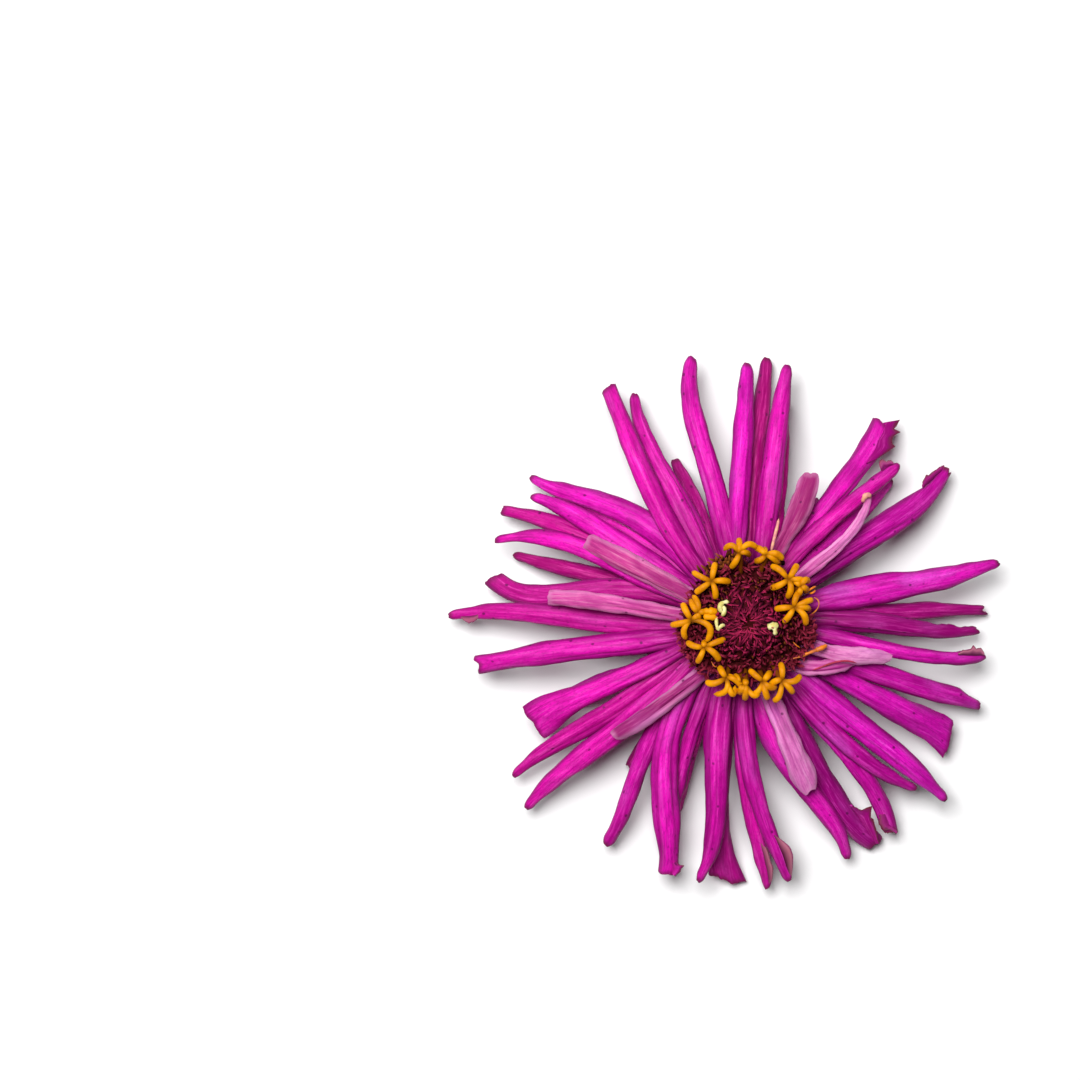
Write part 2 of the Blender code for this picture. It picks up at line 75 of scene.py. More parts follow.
# Each petal: name, tier, reach of the tip, bearings at root, a third, two thirds and tip, widths at a
# third, two thirds and tip, its end, roll at mid length and tip in degrees, slant of the end from the -s
# to the +s side, depth of the furrows, tone from 0, deep magenta, to 1, bright magenta, and how far it
# leans from 0, crimson, to 1, violet.
PETALS = (
    ("p01", 2, 46, (17, 13.9, 12.4, 12.7), (5.2, 4.1, 1.2), "pinched", 0, 4, -0.3, 0.8, 0.86, 0.8),
    ("p02", 0, 43, (8, 4.2, 2.9, 2.4), (2.6, 2.8, 1.6), "forked", 14, 10, -1.2, 0.5, 0.18, 0.27),
    ("p03", 1, 41.5, (2, 0, -2.6, -2.3), (3.9, 2.8, 1.5), "blunt", 6, -8, -0.8, 1, 0.08, 0.43),
    ("p04", 2, 42.7, (-9.5, -11, -11, -7.9), (2.7, 2.2, 2.6), "round", -4, -8, -0.8, 0.7, 0.73, 0.72),
    ("p05", 3, 26.2, (-18, -20, -16.6, -13.9), (2.4, 2.8, 2.3), "round", -4, -8, 0.3, 0.8, 0.94, 0.7),
    ("p06", 3, 20.7, (-46, -36.5, -26.5, -19.5), (2.4, 2.4, 1.2), "pinched", -14, -16, 0.4, 1, 0.5, 0.65),
    ("p07", 1, 44.5, (-22, -21.5, -20.7, -19.8), (3.7, 3.5, 2.2), "blunt", 8, 12, -0.6, 0.9, 0.58, 0.76),
    ("p08", 1, 42, (-33, -31, -29.8, -29.5), (3, 4.6, 6.2), "flared", 6, 0, -1.9, 0.7, 0.77, 0.9),
    ("p09", 2, 47.5, (-47.5, -44, -42, -41.6), (4.5, 4, 1.6), "pinched", 0, 0, 0.2, 1.2, 0.8, 1),
    ("p10", 2, 42.3, (-56, -53, -49.5, -44.3), (3, 2.9, 1.4), "pinched", 8, 4, 0.4, 0.8, 0.47, 0.71),
    ("p11", 1, 45.6, (-58, -54.5, -52.9, -55.3), (3, 3, 2.7), "ragged", 10, -6, 0.8, 1, 0.52, 0.68),
    ("p12", 0, 46.3, (-66, -65, -64, -59.5), (3.8, 3.9, 3.8), "blunt", 14, 10, 0.9, 1.1, 0.14, 0.67),
    ("p13", 1, 45.8, (-81, -76.5, -68.5, -66.6), (4.3, 3.5, 1.6), "pinched", 4, 8, 0.5, 0.7, 0.81, 0.66),
    ("p14", 3, 32, (-74, -71, -69.8, -69), (3.1, 3.7, 4.8), "lobed", -3, -6, -0.5, 1, 0.71, 0.85),
    ("p15a", 1, 47.5, (-91.5, -90.8, -87.7, -85), (3.2, 3, 1.7), "pinched", 6, 14, -0.5, 1.1, 0.57, 0.39),
    ("p15b", 2, 46.4, (-91, -89.2, -84.8, -80.1), (3.2, 2.6, 1.7), "pinched", 2, 6, -0.4, 1.2, 0.54, 0.64),
    ("p16a", 2, 46.5, (250, 256.8, 261.4, 259.9), (4.5, 3.5, 1.5), "pinched", -3, 8, 1, 1.4, 0.69, 0.58),
    ("p16b", 0, 46.3, (257, 260, 262.6, 266.2), (3, 2.7, 5.6), "torn", 6, 6, 3, 0.8, 0.45, 0.35),
    ("p17a", 2, 46.8, (227, 233.8, 246, 253.2), (4, 4.9, 3.7), "cut", -4, 2, -0.4, 1.4, 1, 0.65),
    ("p17b", 1, 40, (239, 243, 247, 250.5), (2.5, 2.4, 1.5), "blunt", 6, 8, 0.2, 0.9, 0.55, 0.54),
    ("p17c", 0, 36, (243, 245.8, 248.3, 251), (2, 2, 1.3), "pinched", 2, 0, 0.1, 0.8, 1, 0.19),
    ("p18a", 1, 46.5, (225, 228, 234.9, 238.3), (3, 2.9, 1.9), "pinched", 4, 8, 0.4, 0.6, 0.56, 0.59),
    ("p18b", 0, 33, (231, 231, 231, 232), (2.6, 2.4, 1.5), "blunt", 0, 0, 0.2, 0.6, 0, 0),
    ("p19", 3, 30.6, (232, 225.5, 222.3, 220.4), (2.8, 3, 2.7), "round", 30, 34, -0.4, 1.8, 0.06, 0.5),
    ("p20", 1, 50.7, (215, 220.5, 220.2, 220.8), (4.4, 3.9, 1.6), "pinched", 0, 6, 0.3, 1, 0.86, 0.44),
    ("p21", 1, 49, (208, 213.5, 213.3, 214.1), (3.5, 3.3, 1.5), "round", -6, -6, 0.3, 1.1, 0.51, 0.32),
    ("p22a", 2, 41.4, (203, 205, 204.8, 206), (3.1, 3.8, 6.8), "flared", -2, -4, 0.6, 1.4, 1, 0.53),
    ("p22b", 0, 36, (206, 204.5, 202.6, 204), (2.4, 2.4, 1.5), "blunt", 8, 8, 0.3, 0.8, 0.11, 0.84),
    ("p23", 2, 48, (195, 190.5, 189.2, 189.5), (4.1, 3.9, 3), "notched", -2, 0, -0.5, 1.2, 0.73, 0.54),
    ("p24", 1, 52, (184, 181, 178.3, 179.1), (4, 3.3, 1.6), "pinched", -4, 6, 0.2, 0.8, 0.51, 0.31),
    ("p25", 3, 34.8, (176, 173, 172.5, 173.4), (2.6, 2.8, 2.7), "cut", -6, -10, 0.3, 1, 0.55, 0.5),
    ("p26", 1, 44.8, (162, 164.5, 171.8, 169.9), (3.8, 3.8, 3.3), "cut", 4, 10, 0.8, 0.8, 0.34, 0.25),
    ("p27a", 2, 46, (159, 156.5, 156.5, 162.3), (3.6, 3.2, 1.1), "pinched", -8, -4, 0.1, 0.7, 1, 0.54),
    ("p27b", 0, 42.2, (161, 162, 163.3, 164), (3, 2.8, 1.3), "pinched", 6, 8, 0.2, 0.8, 0.13, 0.03),
    ("p28a", 2, 43.4, (148.5, 148.6, 147.9, 149.6), (3.8, 3.5, 1.4), "pinched", -6, 4, 0.3, 1, 0.97, 0.68),
    ("p28b", 1, 47, (151, 151, 152.3, 155.5), (3.4, 3.2, 1.8), "blunt", 4, 4, 0.3, 1, 0.5, 0.19),
    ("p29", 3, 31.3, (156, 154.6, 154, 153.6), (3.3, 3.5, 3), "cut", -4, -8, 0.4, 1, 0.38, 0.35),
    ("p30a", 1, 45.3, (137.5, 135, 141.5, 146.1), (4.3, 3.6, 1.4), "pinched", -8, 4, -0.2, 1.2, 1, 0.74),
    ("p30b", 0, 40, (143, 143, 145, 147), (3.4, 3.2, 1.5), "blunt", 6, 6, 0.2, 0.9, 0.96, 0.54),
    ("p31", 2, 47.7, (134, 128.5, 123.5, 120.2), (3.6, 3.4, 2.6), "cut", 4, 8, -0.8, 1.2, 0.84, 0.46),
    ("p32a", 1, 44.4, (124.5, 119, 118.4, 115.6), (4.3, 2.9, 1.6), "pinched", 2, 4, 0.3, 1.2, 0.63, 0.52),
    ("p32b", 0, 31, (115, 113, 112.5, 113), (3.1, 2.8, 1.8), "blunt", 4, 4, 0.2, 0.7, 0.12, 0.24),
    ("p33", 2, 47.2, (105.5, 103.2, 104, 101), (3.7, 3.5, 2.3), "round", 4, 6, 0.4, 1.2, 0.86, 0.6),
    ("p34", 2, 45.3, (99, 93.3, 90.5, 89.2), (3.6, 3.4, 2), "pinched", 2, 2, 0.3, 1.1, 1, 0.84),
    ("p35", 0, 46.6, (87.5, 87, 85.3, 84.7), (3.3, 3.1, 1.9), "pinched", 10, 10, 0.2, 0.6, 0.16, 0),
    ("p36", 2, 45.6, (76, 79.3, 80.6, 80.4), (3.8, 3.6, 1.9), "round", -2, -2, 0.2, 1, 0.75, 0.55),
    ("p37", 0, 39.5, (68.5, 73.5, 77, 79.5), (2.8, 2.7, 1.5), "pinched", 6, 6, 0.2, 0.7, 1, 0),
    ("p38a", 3, 28.3, (67, 65.5, 65, 66.4), (2.4, 3.7, 4), "spread", -6, -8, -0.4, 1.3, 0.12, 0.3),
    ("p38b", 2, 25, (62, 60, 59, 58), (2.4, 2.4, 1.8), "open", 6, 6, 0.2, 0.8, 1, 0.52),
    ("p39", 1, 43.2, (57, 55.3, 53.2, 54.6), (3, 3.6, 4.2), "notched", 6, 10, 0.8, 1.6, 0.93, 0.67),
    ("p40", 2, 38.6, (55, 51.5, 47.8, 45.2), (3, 2.5, 2), "round", -4, -6, 0.3, 0.8, 0.81, 0.41),
    ("p41", 0, 36.2, (47, 44, 42.5, 43.2), (2.8, 2.7, 1.2), "pinched", 8, 8, 0.2, 0.7, 1, 0.63),
    ("p42", 3, 30.7, (38.5, 39, 40, 45.4), (2.1, 1.5, 0.9), "pinched", -4, -4, 0.2, 0.9, 0.76, 0.7),
    ("p43a", 1, 45, (35, 34.6, 33.3, 36.7), (4.3, 4.5, 2.2), "ragged", 4, 10, 0.6, 1.1, 0.5, 0.74),
    ("p43b", 0, 36, (31, 31.5, 31.5, 33.5), (2.6, 2.5, 1.4), "pinched", 6, 6, 0.2, 0.8, 0.28, 0.6),
)

# Short petals hidden under the others, which close the gaps near the disc: bearing and reach.
HIDDEN_PETALS = (
    (-14, 18), (-27, 20), (-38, 19), (-50, 18), (-62, 19), (-72, 17), (-98, 16), (238, 19), (223, 20),
    (212, 18), (198, 18), (186, 20), (168, 19), (152, 20), (141, 21), (129, 20), (113, 19), (99, 18),
    (83, 20), (70, 19), (60, 19), (49, 20), (38, 17), (9, 19), (-5, 17),
)
HIDDEN_TIER = 4
HIDDEN_LOOK = ((3.6, 3.8, 2.6), "round", 0, 0, 0, 0.6, 0.1, 0.4)  # the rest of their rows, from the widths

# How a petal ends: degrees that its margins turn under there, how much it swells just before, how
# round it is, depth of the notch in its end, raggedness and browning of its end.
ENDS = {
    "pinched": (120, 0.15, 0.9, 0, 0.04, 0.55),
    "round": (100, 0.06, 0.8, 0, 0.04, 0.3),
    "blunt": (95, 0, 0.5, 0.25, 0.08, 0.4),
    "cut": (85, 0, 0.15, 0.15, 0.08, 0.35),
    "notched": (75, 0, 0.3, 0.8, 0.07, 0.3),
    "forked": (70, 0, 0.1, 0.7, 0.08, 0.45),
    "ragged": (60, 0, 0.2, 0.3, 0.25, 0.9),
    "flared": (18, 0, 0, 0.15, 0.07, 0.25),
    "torn": (30, 0, 0, 0.25, 0.25, 0.5),
    "open": (48, 0, 0.5, 0.2, 0.06, 0.3),
    "spread": (25, 0, 0.75, 0.1, 0.05, 0.5),
    "lobed": (80, 0, 0.85, 0.45, 0.03, 0.3),
}

ALONG, ACROSS = 64, 28  # cells of a petal
HIDDEN_ALONG, HIDDEN_ACROSS = 32, 18  # and of a hidden one
TIP_FINENESS = 1.35  # above 1 crowds a petal's cells towards its tip
MARGIN_POWER = 1.15  # above 1 keeps the crown flat and bends the margins most
MID_CURL = 112.0  # degrees that the margins of a narrow petal turn under at mid length
PETAL_THICK = 0.34
FURROWS = ((-0.32, 1.0), (0.34, 0.9), (0.02, 0.35))  # where a petal's furrows lie across it, and depth
FURROW_DEPTH = 0.42

# How much wider than plain each margin runs near the end of some petals, at MARGIN_PLACES along them:
# first the margin on the +s side, then the other.
MARGIN_PLACES = (0.6, 0.7, 0.8, 0.88, 0.94, 1)
MARGINS = {
    "p01": ((1, 1, 1.1, 1.4, 1.6, 1.3), (1, 1, 1, 0.9, 0.9, 0.9)),
    "p03": ((1, 1, 1.1, 1.3, 1.25, 1.1), (1, 1, 1, 1, 0.95, 0.9)),
    "p04": ((1, 1, 0.8, 0.7, 0.85, 1), (1, 1, 1, 1.05, 1, 1)),
    "p07": ((1, 1.05, 1.25, 1.55, 1, 0.6), (1, 1, 1, 0.9, 0.85, 0.8)),
    "p08": ((1, 1, 1, 0.95, 1, 0.9), (1, 1, 0.92, 0.85, 1, 1.2)),
    "p15a": ((1, 1, 1, 1, 0.9, 0.8), (1, 1, 1, 1, 0.9, 0.8)),
    "p16b": ((1, 1, 1, 1, 1.15, 1.3), (1, 1, 1, 0.9, 0.95, 1)),
    "p17a": ((1, 1, 0.95, 0.8, 0.8, 0.8), (1, 1, 1, 0.95, 0.95, 0.95)),
    "p23": ((1, 1, 0.95, 0.9, 1, 1.15), (1, 1, 0.95, 0.9, 1, 1.15)),
}
BLACK_TIPS = ("p01", "p09")
NIBBLED = {"p03": 1, "p16b": -1}  # side of the petal whose margin is eaten ragged

# Folds and curls at the ends of some petals: petal, tone, share of the dusty inner side's colour,
# browning of the rim, how far the rim stands up, x and y of places along the inner edge, and along the rim.
FLAPS = (
    ("p04", 0.7, 0.85, 0.9, 1, (37.4, -5.9, 38.6, -6.1, 39.8, -6.3, 41, -6.3, 42, -6.1),
     (37.4, -5.6, 38.4, -5.1, 39.5, -5, 40.1, -4.5, 40.8, -4.8, 41.4, -4.7, 42.2, -5.7)),
    ("p15b", 0.6, 1, 0.2, -0.5, (4.9, -37.4, 5.7, -40, 6.5, -42, 7.2, -44, 8, -45.6),
     (5.4, -37.6, 6.8, -38.7, 8.1, -39.8, 8.5, -41.2, 8.5, -43.4, 8.3, -45.6)),
    ("p15a", 0.3, 0.9, 0.8, -0.2, (2.4, -38.8, 3, -41.2, 3.5, -43.6, 4, -45.4, 4.2, -47),
     (3.2, -38.8, 4.3, -41, 5, -43.2, 5.2, -45.2, 4.5, -46.8)),
    ("p17a", 0.6, 0, 0.9, 0.4, (-12.7, -42.4, -12.6, -43, -12.6, -43.6, -12.6, -44, -12.6, -44.5),
     (-11.8, -42.5, -11.3, -42.9, -10.7, -43, -11.1, -43.8, -12.1, -44.9)),
    ("p24", 0.8, 0.9, 0.3, -0.3, (-49.9, 0.9, -49.2, 1.1, -48.4, 1.2, -47.5, 1.3, -46.7, 1.4),
     (-49.6, 0.4, -49.1, -0.1, -48.4, -0.4, -47.6, -0.2, -46.8, 0.5)),
    ("p39", 0.1, 0, 0.9, 0.3, (20.8, 27.3, 22, 29.4, 23.2, 31.6, 24, 33.4, 24.6, 34.8),
     (23.6, 28.6, 25.2, 29.7, 26.7, 30.9, 26.1, 32.3, 27.5, 33.3, 26.7, 34, 27.5, 35.4)),
    ("p40", 0.3, 0.4, 1, 0.6, (24.2, 26.2, 24.7, 26.6, 25.2, 27, 25.7, 27.2, 26.2, 27.4),
     (23.6, 27.4, 23.9, 28.5, 24.7, 28, 25.4, 28.2, 26.2, 27.9)),
    ("p43a", 0.3, 0.1, 1, 0.5, (31.4, 23.3, 32.3, 24.2, 33.2, 25, 34, 25.8, 34.8, 26.4),
     (31.3, 24.4, 32.1, 25.6, 32.7, 25.7, 33.8, 26.6, 34.8, 27.1)),
    ("p12", 0.25, 0, 1, 0.9, (18.6, -32.4, 19.9, -34.2, 21.1, -36, 22.3, -37.8, 23.4, -39.4),
     (19.3, -32.7, 20.8, -33.3, 22.3, -32.7, 22.6, -34.6, 23.4, -37, 24.1, -39.4)),
    ("p11", 0.3, 0.2, 1, 0.5, (25, -34, 25.4, -34.8, 25.8, -35.6, 26.4, -36.4, 27, -37.2),
     (23.7, -34.2, 23.8, -35.6, 24.4, -36.9, 25.6, -36.8, 27, -37.6)),
)
FLAP_ALONG, FLAP_ACROSS = 14, 8  # cells of a flap

# Each star: x and y of its throat, and for each lobe x and y of its middle and of its tip.
STARS = (
    (-1, 11.7, -1, 13.1, -1, 14.4, -2.3, 13.1, -3.7, 12.2, -1.6, 10.4, -2.5, 9.1, 0.1, 11.9, 0.9, 11.2,
     0.5, 13.3, 2.2, 12.5),
    (3.6, 11.4, 2.8, 12.3, 1.7, 12.8, 5.3, 11.7, 6.6, 10.5, 4.8, 10.9, 5.9, 9.9, 3.4, 12.2, 3.7, 12.5,
     2.6, 10.6, 1.8, 10.4),
    (7.5, 7.2, 8.4, 8.7, 9.1, 9.9, 5.9, 8.9, 4.4, 9.5, 5.9, 6.2, 4.4, 5.7, 7.9, 5.5, 7.2, 3.9, 9.3, 7.2,
     10.4, 6.9),
    (9.7, 5.9, 10.4, 7.1, 11.1, 6.6, 8.8, 6.8, 8.3, 7.1, 10.4, 5.7, 10.7, 4.9, 9.4, 4.9, 9.1, 4.1),
    (8.5, 2.4, 8.7, 3.9, 9.5, 5.3, 6.6, 2.3, 5.1, 2, 7.6, 0.9, 6.6, -0.3, 10.2, 1, 10.4, -0.8, 10.4, 3.3,
     11.8, 3.7, 10.4, 2.4, 11.1, 1.9),
    (-5.8, 6.9, -5.5, 8.7, -5.1, 10.2, -7.7, 7.7, -9.2, 8.6, -7.5, 5.7, -8.6, 4.8, -5.2, 5.2, -5.2, 3.8,
     -3.9, 7, -2.5, 6.7),
    (-8.2, 1.5, -8.2, 3, -9.1, 4.5, -8.9, 2.5, -9.3, 3.9, -8.1, 0.7, -7.9, 0.1, -7.2, 1.6, -6.5, 1.5),
    (-9.3, 0.2, -10.3, 1.8, -10.8, 3.2, -11.2, -0.4, -13, -0.7, -10.6, -1.5, -10.1, -3.2, -6.2, -1, -6.8,
     -3.8, -8.2, 0.9, -7.6, 0.7),
    (-7.1, -4.5, -8.9, -4.3, -10.1, -3.5, -4.9, -3.6, -3.4, -3.1, -5.4, -5.5, -4.4, -7, -7.7, -6.1, -8.4,
     -7.3, -7.1, -3.9, -6.8, -3.7),
    (-3.3, -9.8, -4, -8.8, -4.4, -7.9, -5.4, -10.8, -6.8, -10.4, -1.7, -10.2, -0.4, -11.8, -3.3, -12,
     -5.4, -12.7, -2.3, -12.6, -1.7, -11.2),
    (-0.9, -10.9, -2.3, -9.8, -3, -9.8, -0.7, -12, -0.9, -12.6, -1.4, -9.8, -1.7, -9.6),
    (0.1, -11, 0.1, -12.3, 0, -13.8, 0.1, -10.6, 0.2, -10.2, 1.6, -12.9, 2.6, -11.2, -0.7, -12, -1.3,
     -12),
    (3.1, -10.4, 1.8, -9.4, 0.7, -8.4, 3.9, -9.5, 4.5, -8.8, 4.2, -11.4, 5.5, -11.3, 2.2, -12.2, 0.8,
     -12.8, 3.5, -12.3, 4, -13.6),
    (6.4, -10.3, 6.4, -8.5, 6.1, -7.2, 8.5, -10.4, 9.6, -9.2, 7.6, -11.5, 8.4, -12.6, 5.3, -10.4, 4.2,
     -11.4, 5.9, -12.9, 4.8, -13.8),
)
DISC_OFF = (-0.35, 0.15)  # how far the stars and bits stand off the places given here
LOBE_REACH = 3.1  # length of a lobe, so that one that looks shorter points down
LOBE_HALF = 0.58  # half its width
LOBE_RINGS = 10

# Soft strands: half width, then x, y and height of the four places that each runs through.
CREAM_BITS = (
    (0.42, -2.7, 3.3, 21.2, -4, 3.1, 21.6, -4.4, 2.3, 21.6, -3.9, 1.5, 21.2),
    (0.34, -4.3, 2.6, 21.3, -3.6, 2.2, 21.7, -3.7, 1.4, 21.6, -4.2, 1, 21.2),
    (0.34, -4.8, 0.7, 21.2, -5, -0.3, 21.4, -4.8, -1.2, 21.4, -4.5, -1.4, 21.1),
    (0.32, -4.7, -1.3, 21.2, -4.2, -0.9, 21.5, -3.9, -0.7, 21.5, -3.5, -0.9, 21.1),
    (0.6, 3.9, -1.1, 21, 4.5, -0.9, 21.3, 5.1, -0.8, 21.3, 5.8, -0.8, 20.9),
    (0.44, 5, -0.9, 21.3, 5.1, -1.4, 21.4, 5.2, -1.9, 21.2, 5.2, -2.4, 20.7),
)
DRY_BUD = (
    (0.44, 20.9, 20.6, 14.9, 20.9, 21.4, 15.5, 21.5, 21.9, 15.6, 22.2, 21.5, 14.9),
    (0.3, 4.6, 12, 17.6, 5.1, 14, 17.9, 5.6, 16, 17.8, 6, 17.8, 17.4),
)
RUST_EDGE = ((0.16, 11.8, -8.6, 17.3, 14.2, -7.7, 17.9, 16.8, -7, 17.8, 19.6, -7.4, 17),)
STYLES = (
    (0.3, 9.2, -6.2, 18.4, 10.8, -5.7, 18.8, 12.4, -5.1, 18.6, 14, -4.4, 17.8),
    (0.42, 12.3, -5.1, 18.6, 12.9, -4.9, 18.8, 13.6, -4.6, 18.7, 14.4, -4.2, 18.2),
    (0.13, 6.6, -6.9, 18.6, 8, -6.6, 18.9, 9.5, -6.3, 18.8, 11.2, -5.9, 18.4),
    (0.12, 12, 4.1, 18.5, 12.9, 3.2, 18.8, 12.5, 1.9, 18.6, 11.1, 1, 18),
    (0.2, 10.9, 5.1, 18.8, 11.4, 5.5, 19.2, 11.9, 5.8, 19.1, 12.4, 6, 18.7),
    (0.16, 11.2, 4.7, 18.7, 11.8, 4.9, 19, 12.1, 5.1, 18.9, 12.3, 5.4, 18.5),
    (0.1, 8.3, -3.5, 18.9, 8.8, -4.1, 19.3, 9.2, -4.4, 19.2, 9.7, -4.7, 18.8),
    (0.1, -5.8, -7, 18.9, -5.5, -7.6, 19.3, -5.2, -7.9, 19.3, -4.7, -8, 18.9),
)
BUD_BLOCKS = (  # a floret that is still folded, as two blocks side by side
    (0.62, -7.3, 1.75, 20.9, -6.5, 1.75, 21.1, -5.6, 1.7, 21, -4.8, 1.65, 20.6),
    (0.62, -7.3, 0.75, 20.9, -6.5, 0.75, 21, -5.6, 0.7, 20.9, -4.8, 0.7, 20.5),
)

# The chaff: piece, material, colours at foot, middle and tip, and its rings of bristles: count, inner and
# outer radius, rise, lean to the middle, width, seed, swirl in degrees, curl, and the arcs that they keep
# to where they don't stand all round. Real chaff is finer; it is drawn coarser so that it still shows.
CHAFF = (
    ("chaff_whorl", "crimson_fringed_chaff", ("0C0206", "560A28", "BC2858"), (
        (30, 1.9, 2.9, 0.9, 0.9, 0.18, 11, 14, 0.2),
        (66, 2.6, 4.1, 1.3, 2.0, 0.19, 12, 16, 0.45),
        (100, 3.9, 5.7, 1.7, 2.8, 0.20, 13, 22, 0.8),
        (190, 5.0, 7.0, 2.1, 1.1, 0.24, 21, 50, 1.1),
    )),
    ("chaff_band", "dark_maroon_chaff", ("3A0A10", "681224", "982C46"), (
        (330, 6.6, 9.6, 2.8, 0.3, 0.27, 22, 90, 1.2),
        (150, 9.6, 11.9, 1.7, -0.8, 0.34, 32, 80, 1.2, (150, 250), (178, 230), (-40, 5)),
        (300, 9.0, 10.6, 2.4, -1.1, 0.26, 23, 70, 1.3),
    )),
    ("dried_bits", "dried_floret_bits", ("120506", "3A120C", "985020"), (
        (90, 9.6, 11.8, 2.0, -0.6, 0.40, 31, 80, 1.2, (96, 134), (58, 76), (100, 128)),
        (64, 5.6, 8.8, 3.3, 0.2, 0.34, 33, 80, 0.3, (30, 160), (160, 390)),
    )),
)
DOME_RADIUS, DOME_RISE = 6.7, 3.1
PIT_RADIUS, PIT_DEPTH = 1.3, 1.9
PIT_PLACE = np.array((0.35, -0.6))  # the whorl's middle, a little off the axis
GOLDEN_TURN = 137.508
BRISTLE_SIDES, BRISTLE_RINGS = 5, 6

CUP_FOOT, CUP_SWELL, CUP_BELLY = 4.6, 3.6, 0.62  # radius at the foot, what it gains, and how far up
BRACT_ROWS = (  # bracts in the row, height of their base and tip, width, first bearing
    (8, 0.5, 4.4, 4.6, 10), (9, 1.4, 6.2, 5.4, 0), (10, 2.8, 8.2, 5.6, 18), (12, 4.4, 9.8, 5.2, 5),
    (12, 5.8, 11.3, 5.0, 20),
)
BRACT_THICK = 0.42

VIEW_PLACE = (-35.9, 14.2)  # where the camera looks, so that the flower lies low and right of the middle
VIEW_WIDTH = 189.0  # of the picture, at the flower's height
VIEW_HEIGHT = 900.0  # of the camera over the petals
PETAL_PLANE = 12.0
SENSOR = 36.0
ROOM_LIGHT = 0.05


# ---- tools for shapes
def smooth(low, high, x):
    """0 below low, 1 above high, and an even S between them."""
    u = np.clip((x - low) / (high - low), 0.0, 1.0)
    return u * u * (3.0 - 2.0 * u)


def through(values, t):
    """The cubic that takes the four values at 0, 1/3, 2/3 and 1, read at t."""
    a, b, c, d = values
    u = 3.0 * t
    return (
        a * (1 - u) * (2 - u) * (3 - u) / 6
        + b * u * (2 - u) * (3 - u) / 2
        - c * u * (1 - u) * (3 - u) / 2
        + d * u * (1 - u) * (2 - u) / 6
    )


def eased(values, t):
    """The four values at 0, 1/3, 2/3 and 1, joined by half cosine waves, read at t."""
    place = np.clip(3.0 * t, 0.0, 2.999999)
    index = place.astype(int)
    values = np.array(values, float)
    blend = (1 - np.cos(np.pi * (place - index))) / 2
    return values[index] + (values[index + 1] - values[index]) * blend


def unit(vectors):
    return vectors / np.linalg.norm(vectors, axis=-1, keepdims=True)


def polar(radius, bearing, height):
    """Points from distances, bearings in degrees and heights."""
    turn = np.radians(bearing)
    return np.stack(np.broadcast_arrays(radius * np.cos(turn), radius * np.sin(turn), height), axis=-1)


def wavy(draw, x, *rates):
    """A sum of sine waves of x with these rates, each weaker than the last, with drawn phases."""
    return sum(np.sin(rate * x + draw.uniform(0, math.tau)) / (k + 1) for k, rate in enumerate(rates))


def active(made):
    """Selects this object alone and makes it the active one."""
    bpy.ops.object.select_all(action="DESELECT")
    made.select_set(True)
    bpy.context.view_layer.objects.active = made


def linked(name, data):
    """A new object in the scene that holds the data."""
    made = bpy.data.objects.new(name, data)
    bpy.context.scene.collection.objects.link(made)
    return made


def built(name, points, edges, faces):
    """A new object from points in millimetres, edges and faces."""
    mesh = bpy.data.meshes.new(name)
    mesh.from_pydata((np.asarray(points, float) * MM).tolist(), edges, faces)
    return linked(name, mesh)


def set_points(made, points):
    """Moves the object's points to these places in millimetres."""
    made.data.vertices.foreach_set("co", np.ascontiguousarray(points * MM, np.float32).ravel())
    made.data.update()


def pulled(items, key, width=1, kind=np.float32):
    """The numbers under this key of every item."""
    numbers = np.empty(len(items) * width, kind)
    items.foreach_get(key, numbers)
    return numbers


def get_points(made):
    return pulled(made.data.vertices, "co", 3).reshape(-1, 3).astype(float)


def note(made, **values):
    """Writes one number for each point of the object, under each name, for its material to read."""
    for name, value in values.items():
        layer = made.data.attributes.get(name) or made.data.attributes.new(name, "FLOAT", "POINT")
        count = len(made.data.vertices)
        layer.data.foreach_set("value", np.broadcast_to(np.asarray(value, np.float32), count).copy())


def joined(name, parts):
    """The parts as one object of that name."""
    active(parts[0])
    for part in parts:
        part.select_set(True)
    bpy.ops.object.join()
    parts[0].name = name
    parts[0].data.name = name
    return parts[0]


def grid(along, across):
    """A flat sheet of along x across cells, and t and s of each of its points."""
    bpy.ops.mesh.primitive_grid_add(x_subdivisions=along, y_subdivisions=across, size=2.0)
    made = bpy.context.object
    x, y, _ = get_points(made).T
    return made, np.round((x + 1) / 2 * along) / along, np.round(y * across / 2) / across * 2


def thickened(made, thickness, taper, s):
    """Gives a sheet its thickness, less by the factor taper at the margins."""
    group = made.vertex_groups.new(name="thick")
    for index, share in enumerate(1.0 - (1.0 - taper) * np.abs(s) ** 3):
        group.add([index], float(share), "REPLACE")
    active(made)
    solid = made.modifiers.new("thickness", "SOLIDIFY")
    solid.thickness = thickness * MM
    solid.offset = 0.0
    solid.vertex_group = group.name
    solid.thickness_vertex_group = 0.0
    bpy.ops.object.modifier_apply(modifier=solid.name)
    made.vertex_groups.clear()


def stick(sides, rings):
    """Points and faces of a closed round stick along +Z, one long and of radius one."""
    bpy.ops.mesh.primitive_circle_add(vertices=sides, radius=1.0, fill_type="NGON")
    made = bpy.context.object
    bpy.ops.object.mode_set(mode="EDIT")
    bpy.ops.mesh.select_all(action="SELECT")
    for _ in range(rings):
        bpy.ops.mesh.extrude_region_move(TRANSFORM_OT_translate={"value": (0.0, 0.0, 1.0 / rings)})
    bpy.ops.mesh.select_all(action="SELECT")
    bpy.ops.mesh.normals_make_consistent(inside=False)
    bpy.ops.object.mode_set(mode="OBJECT")
    points = get_points(made)
    faces = [tuple(face.vertices) for face in made.data.polygons]
    bpy.data.objects.remove(made)
    return points, faces


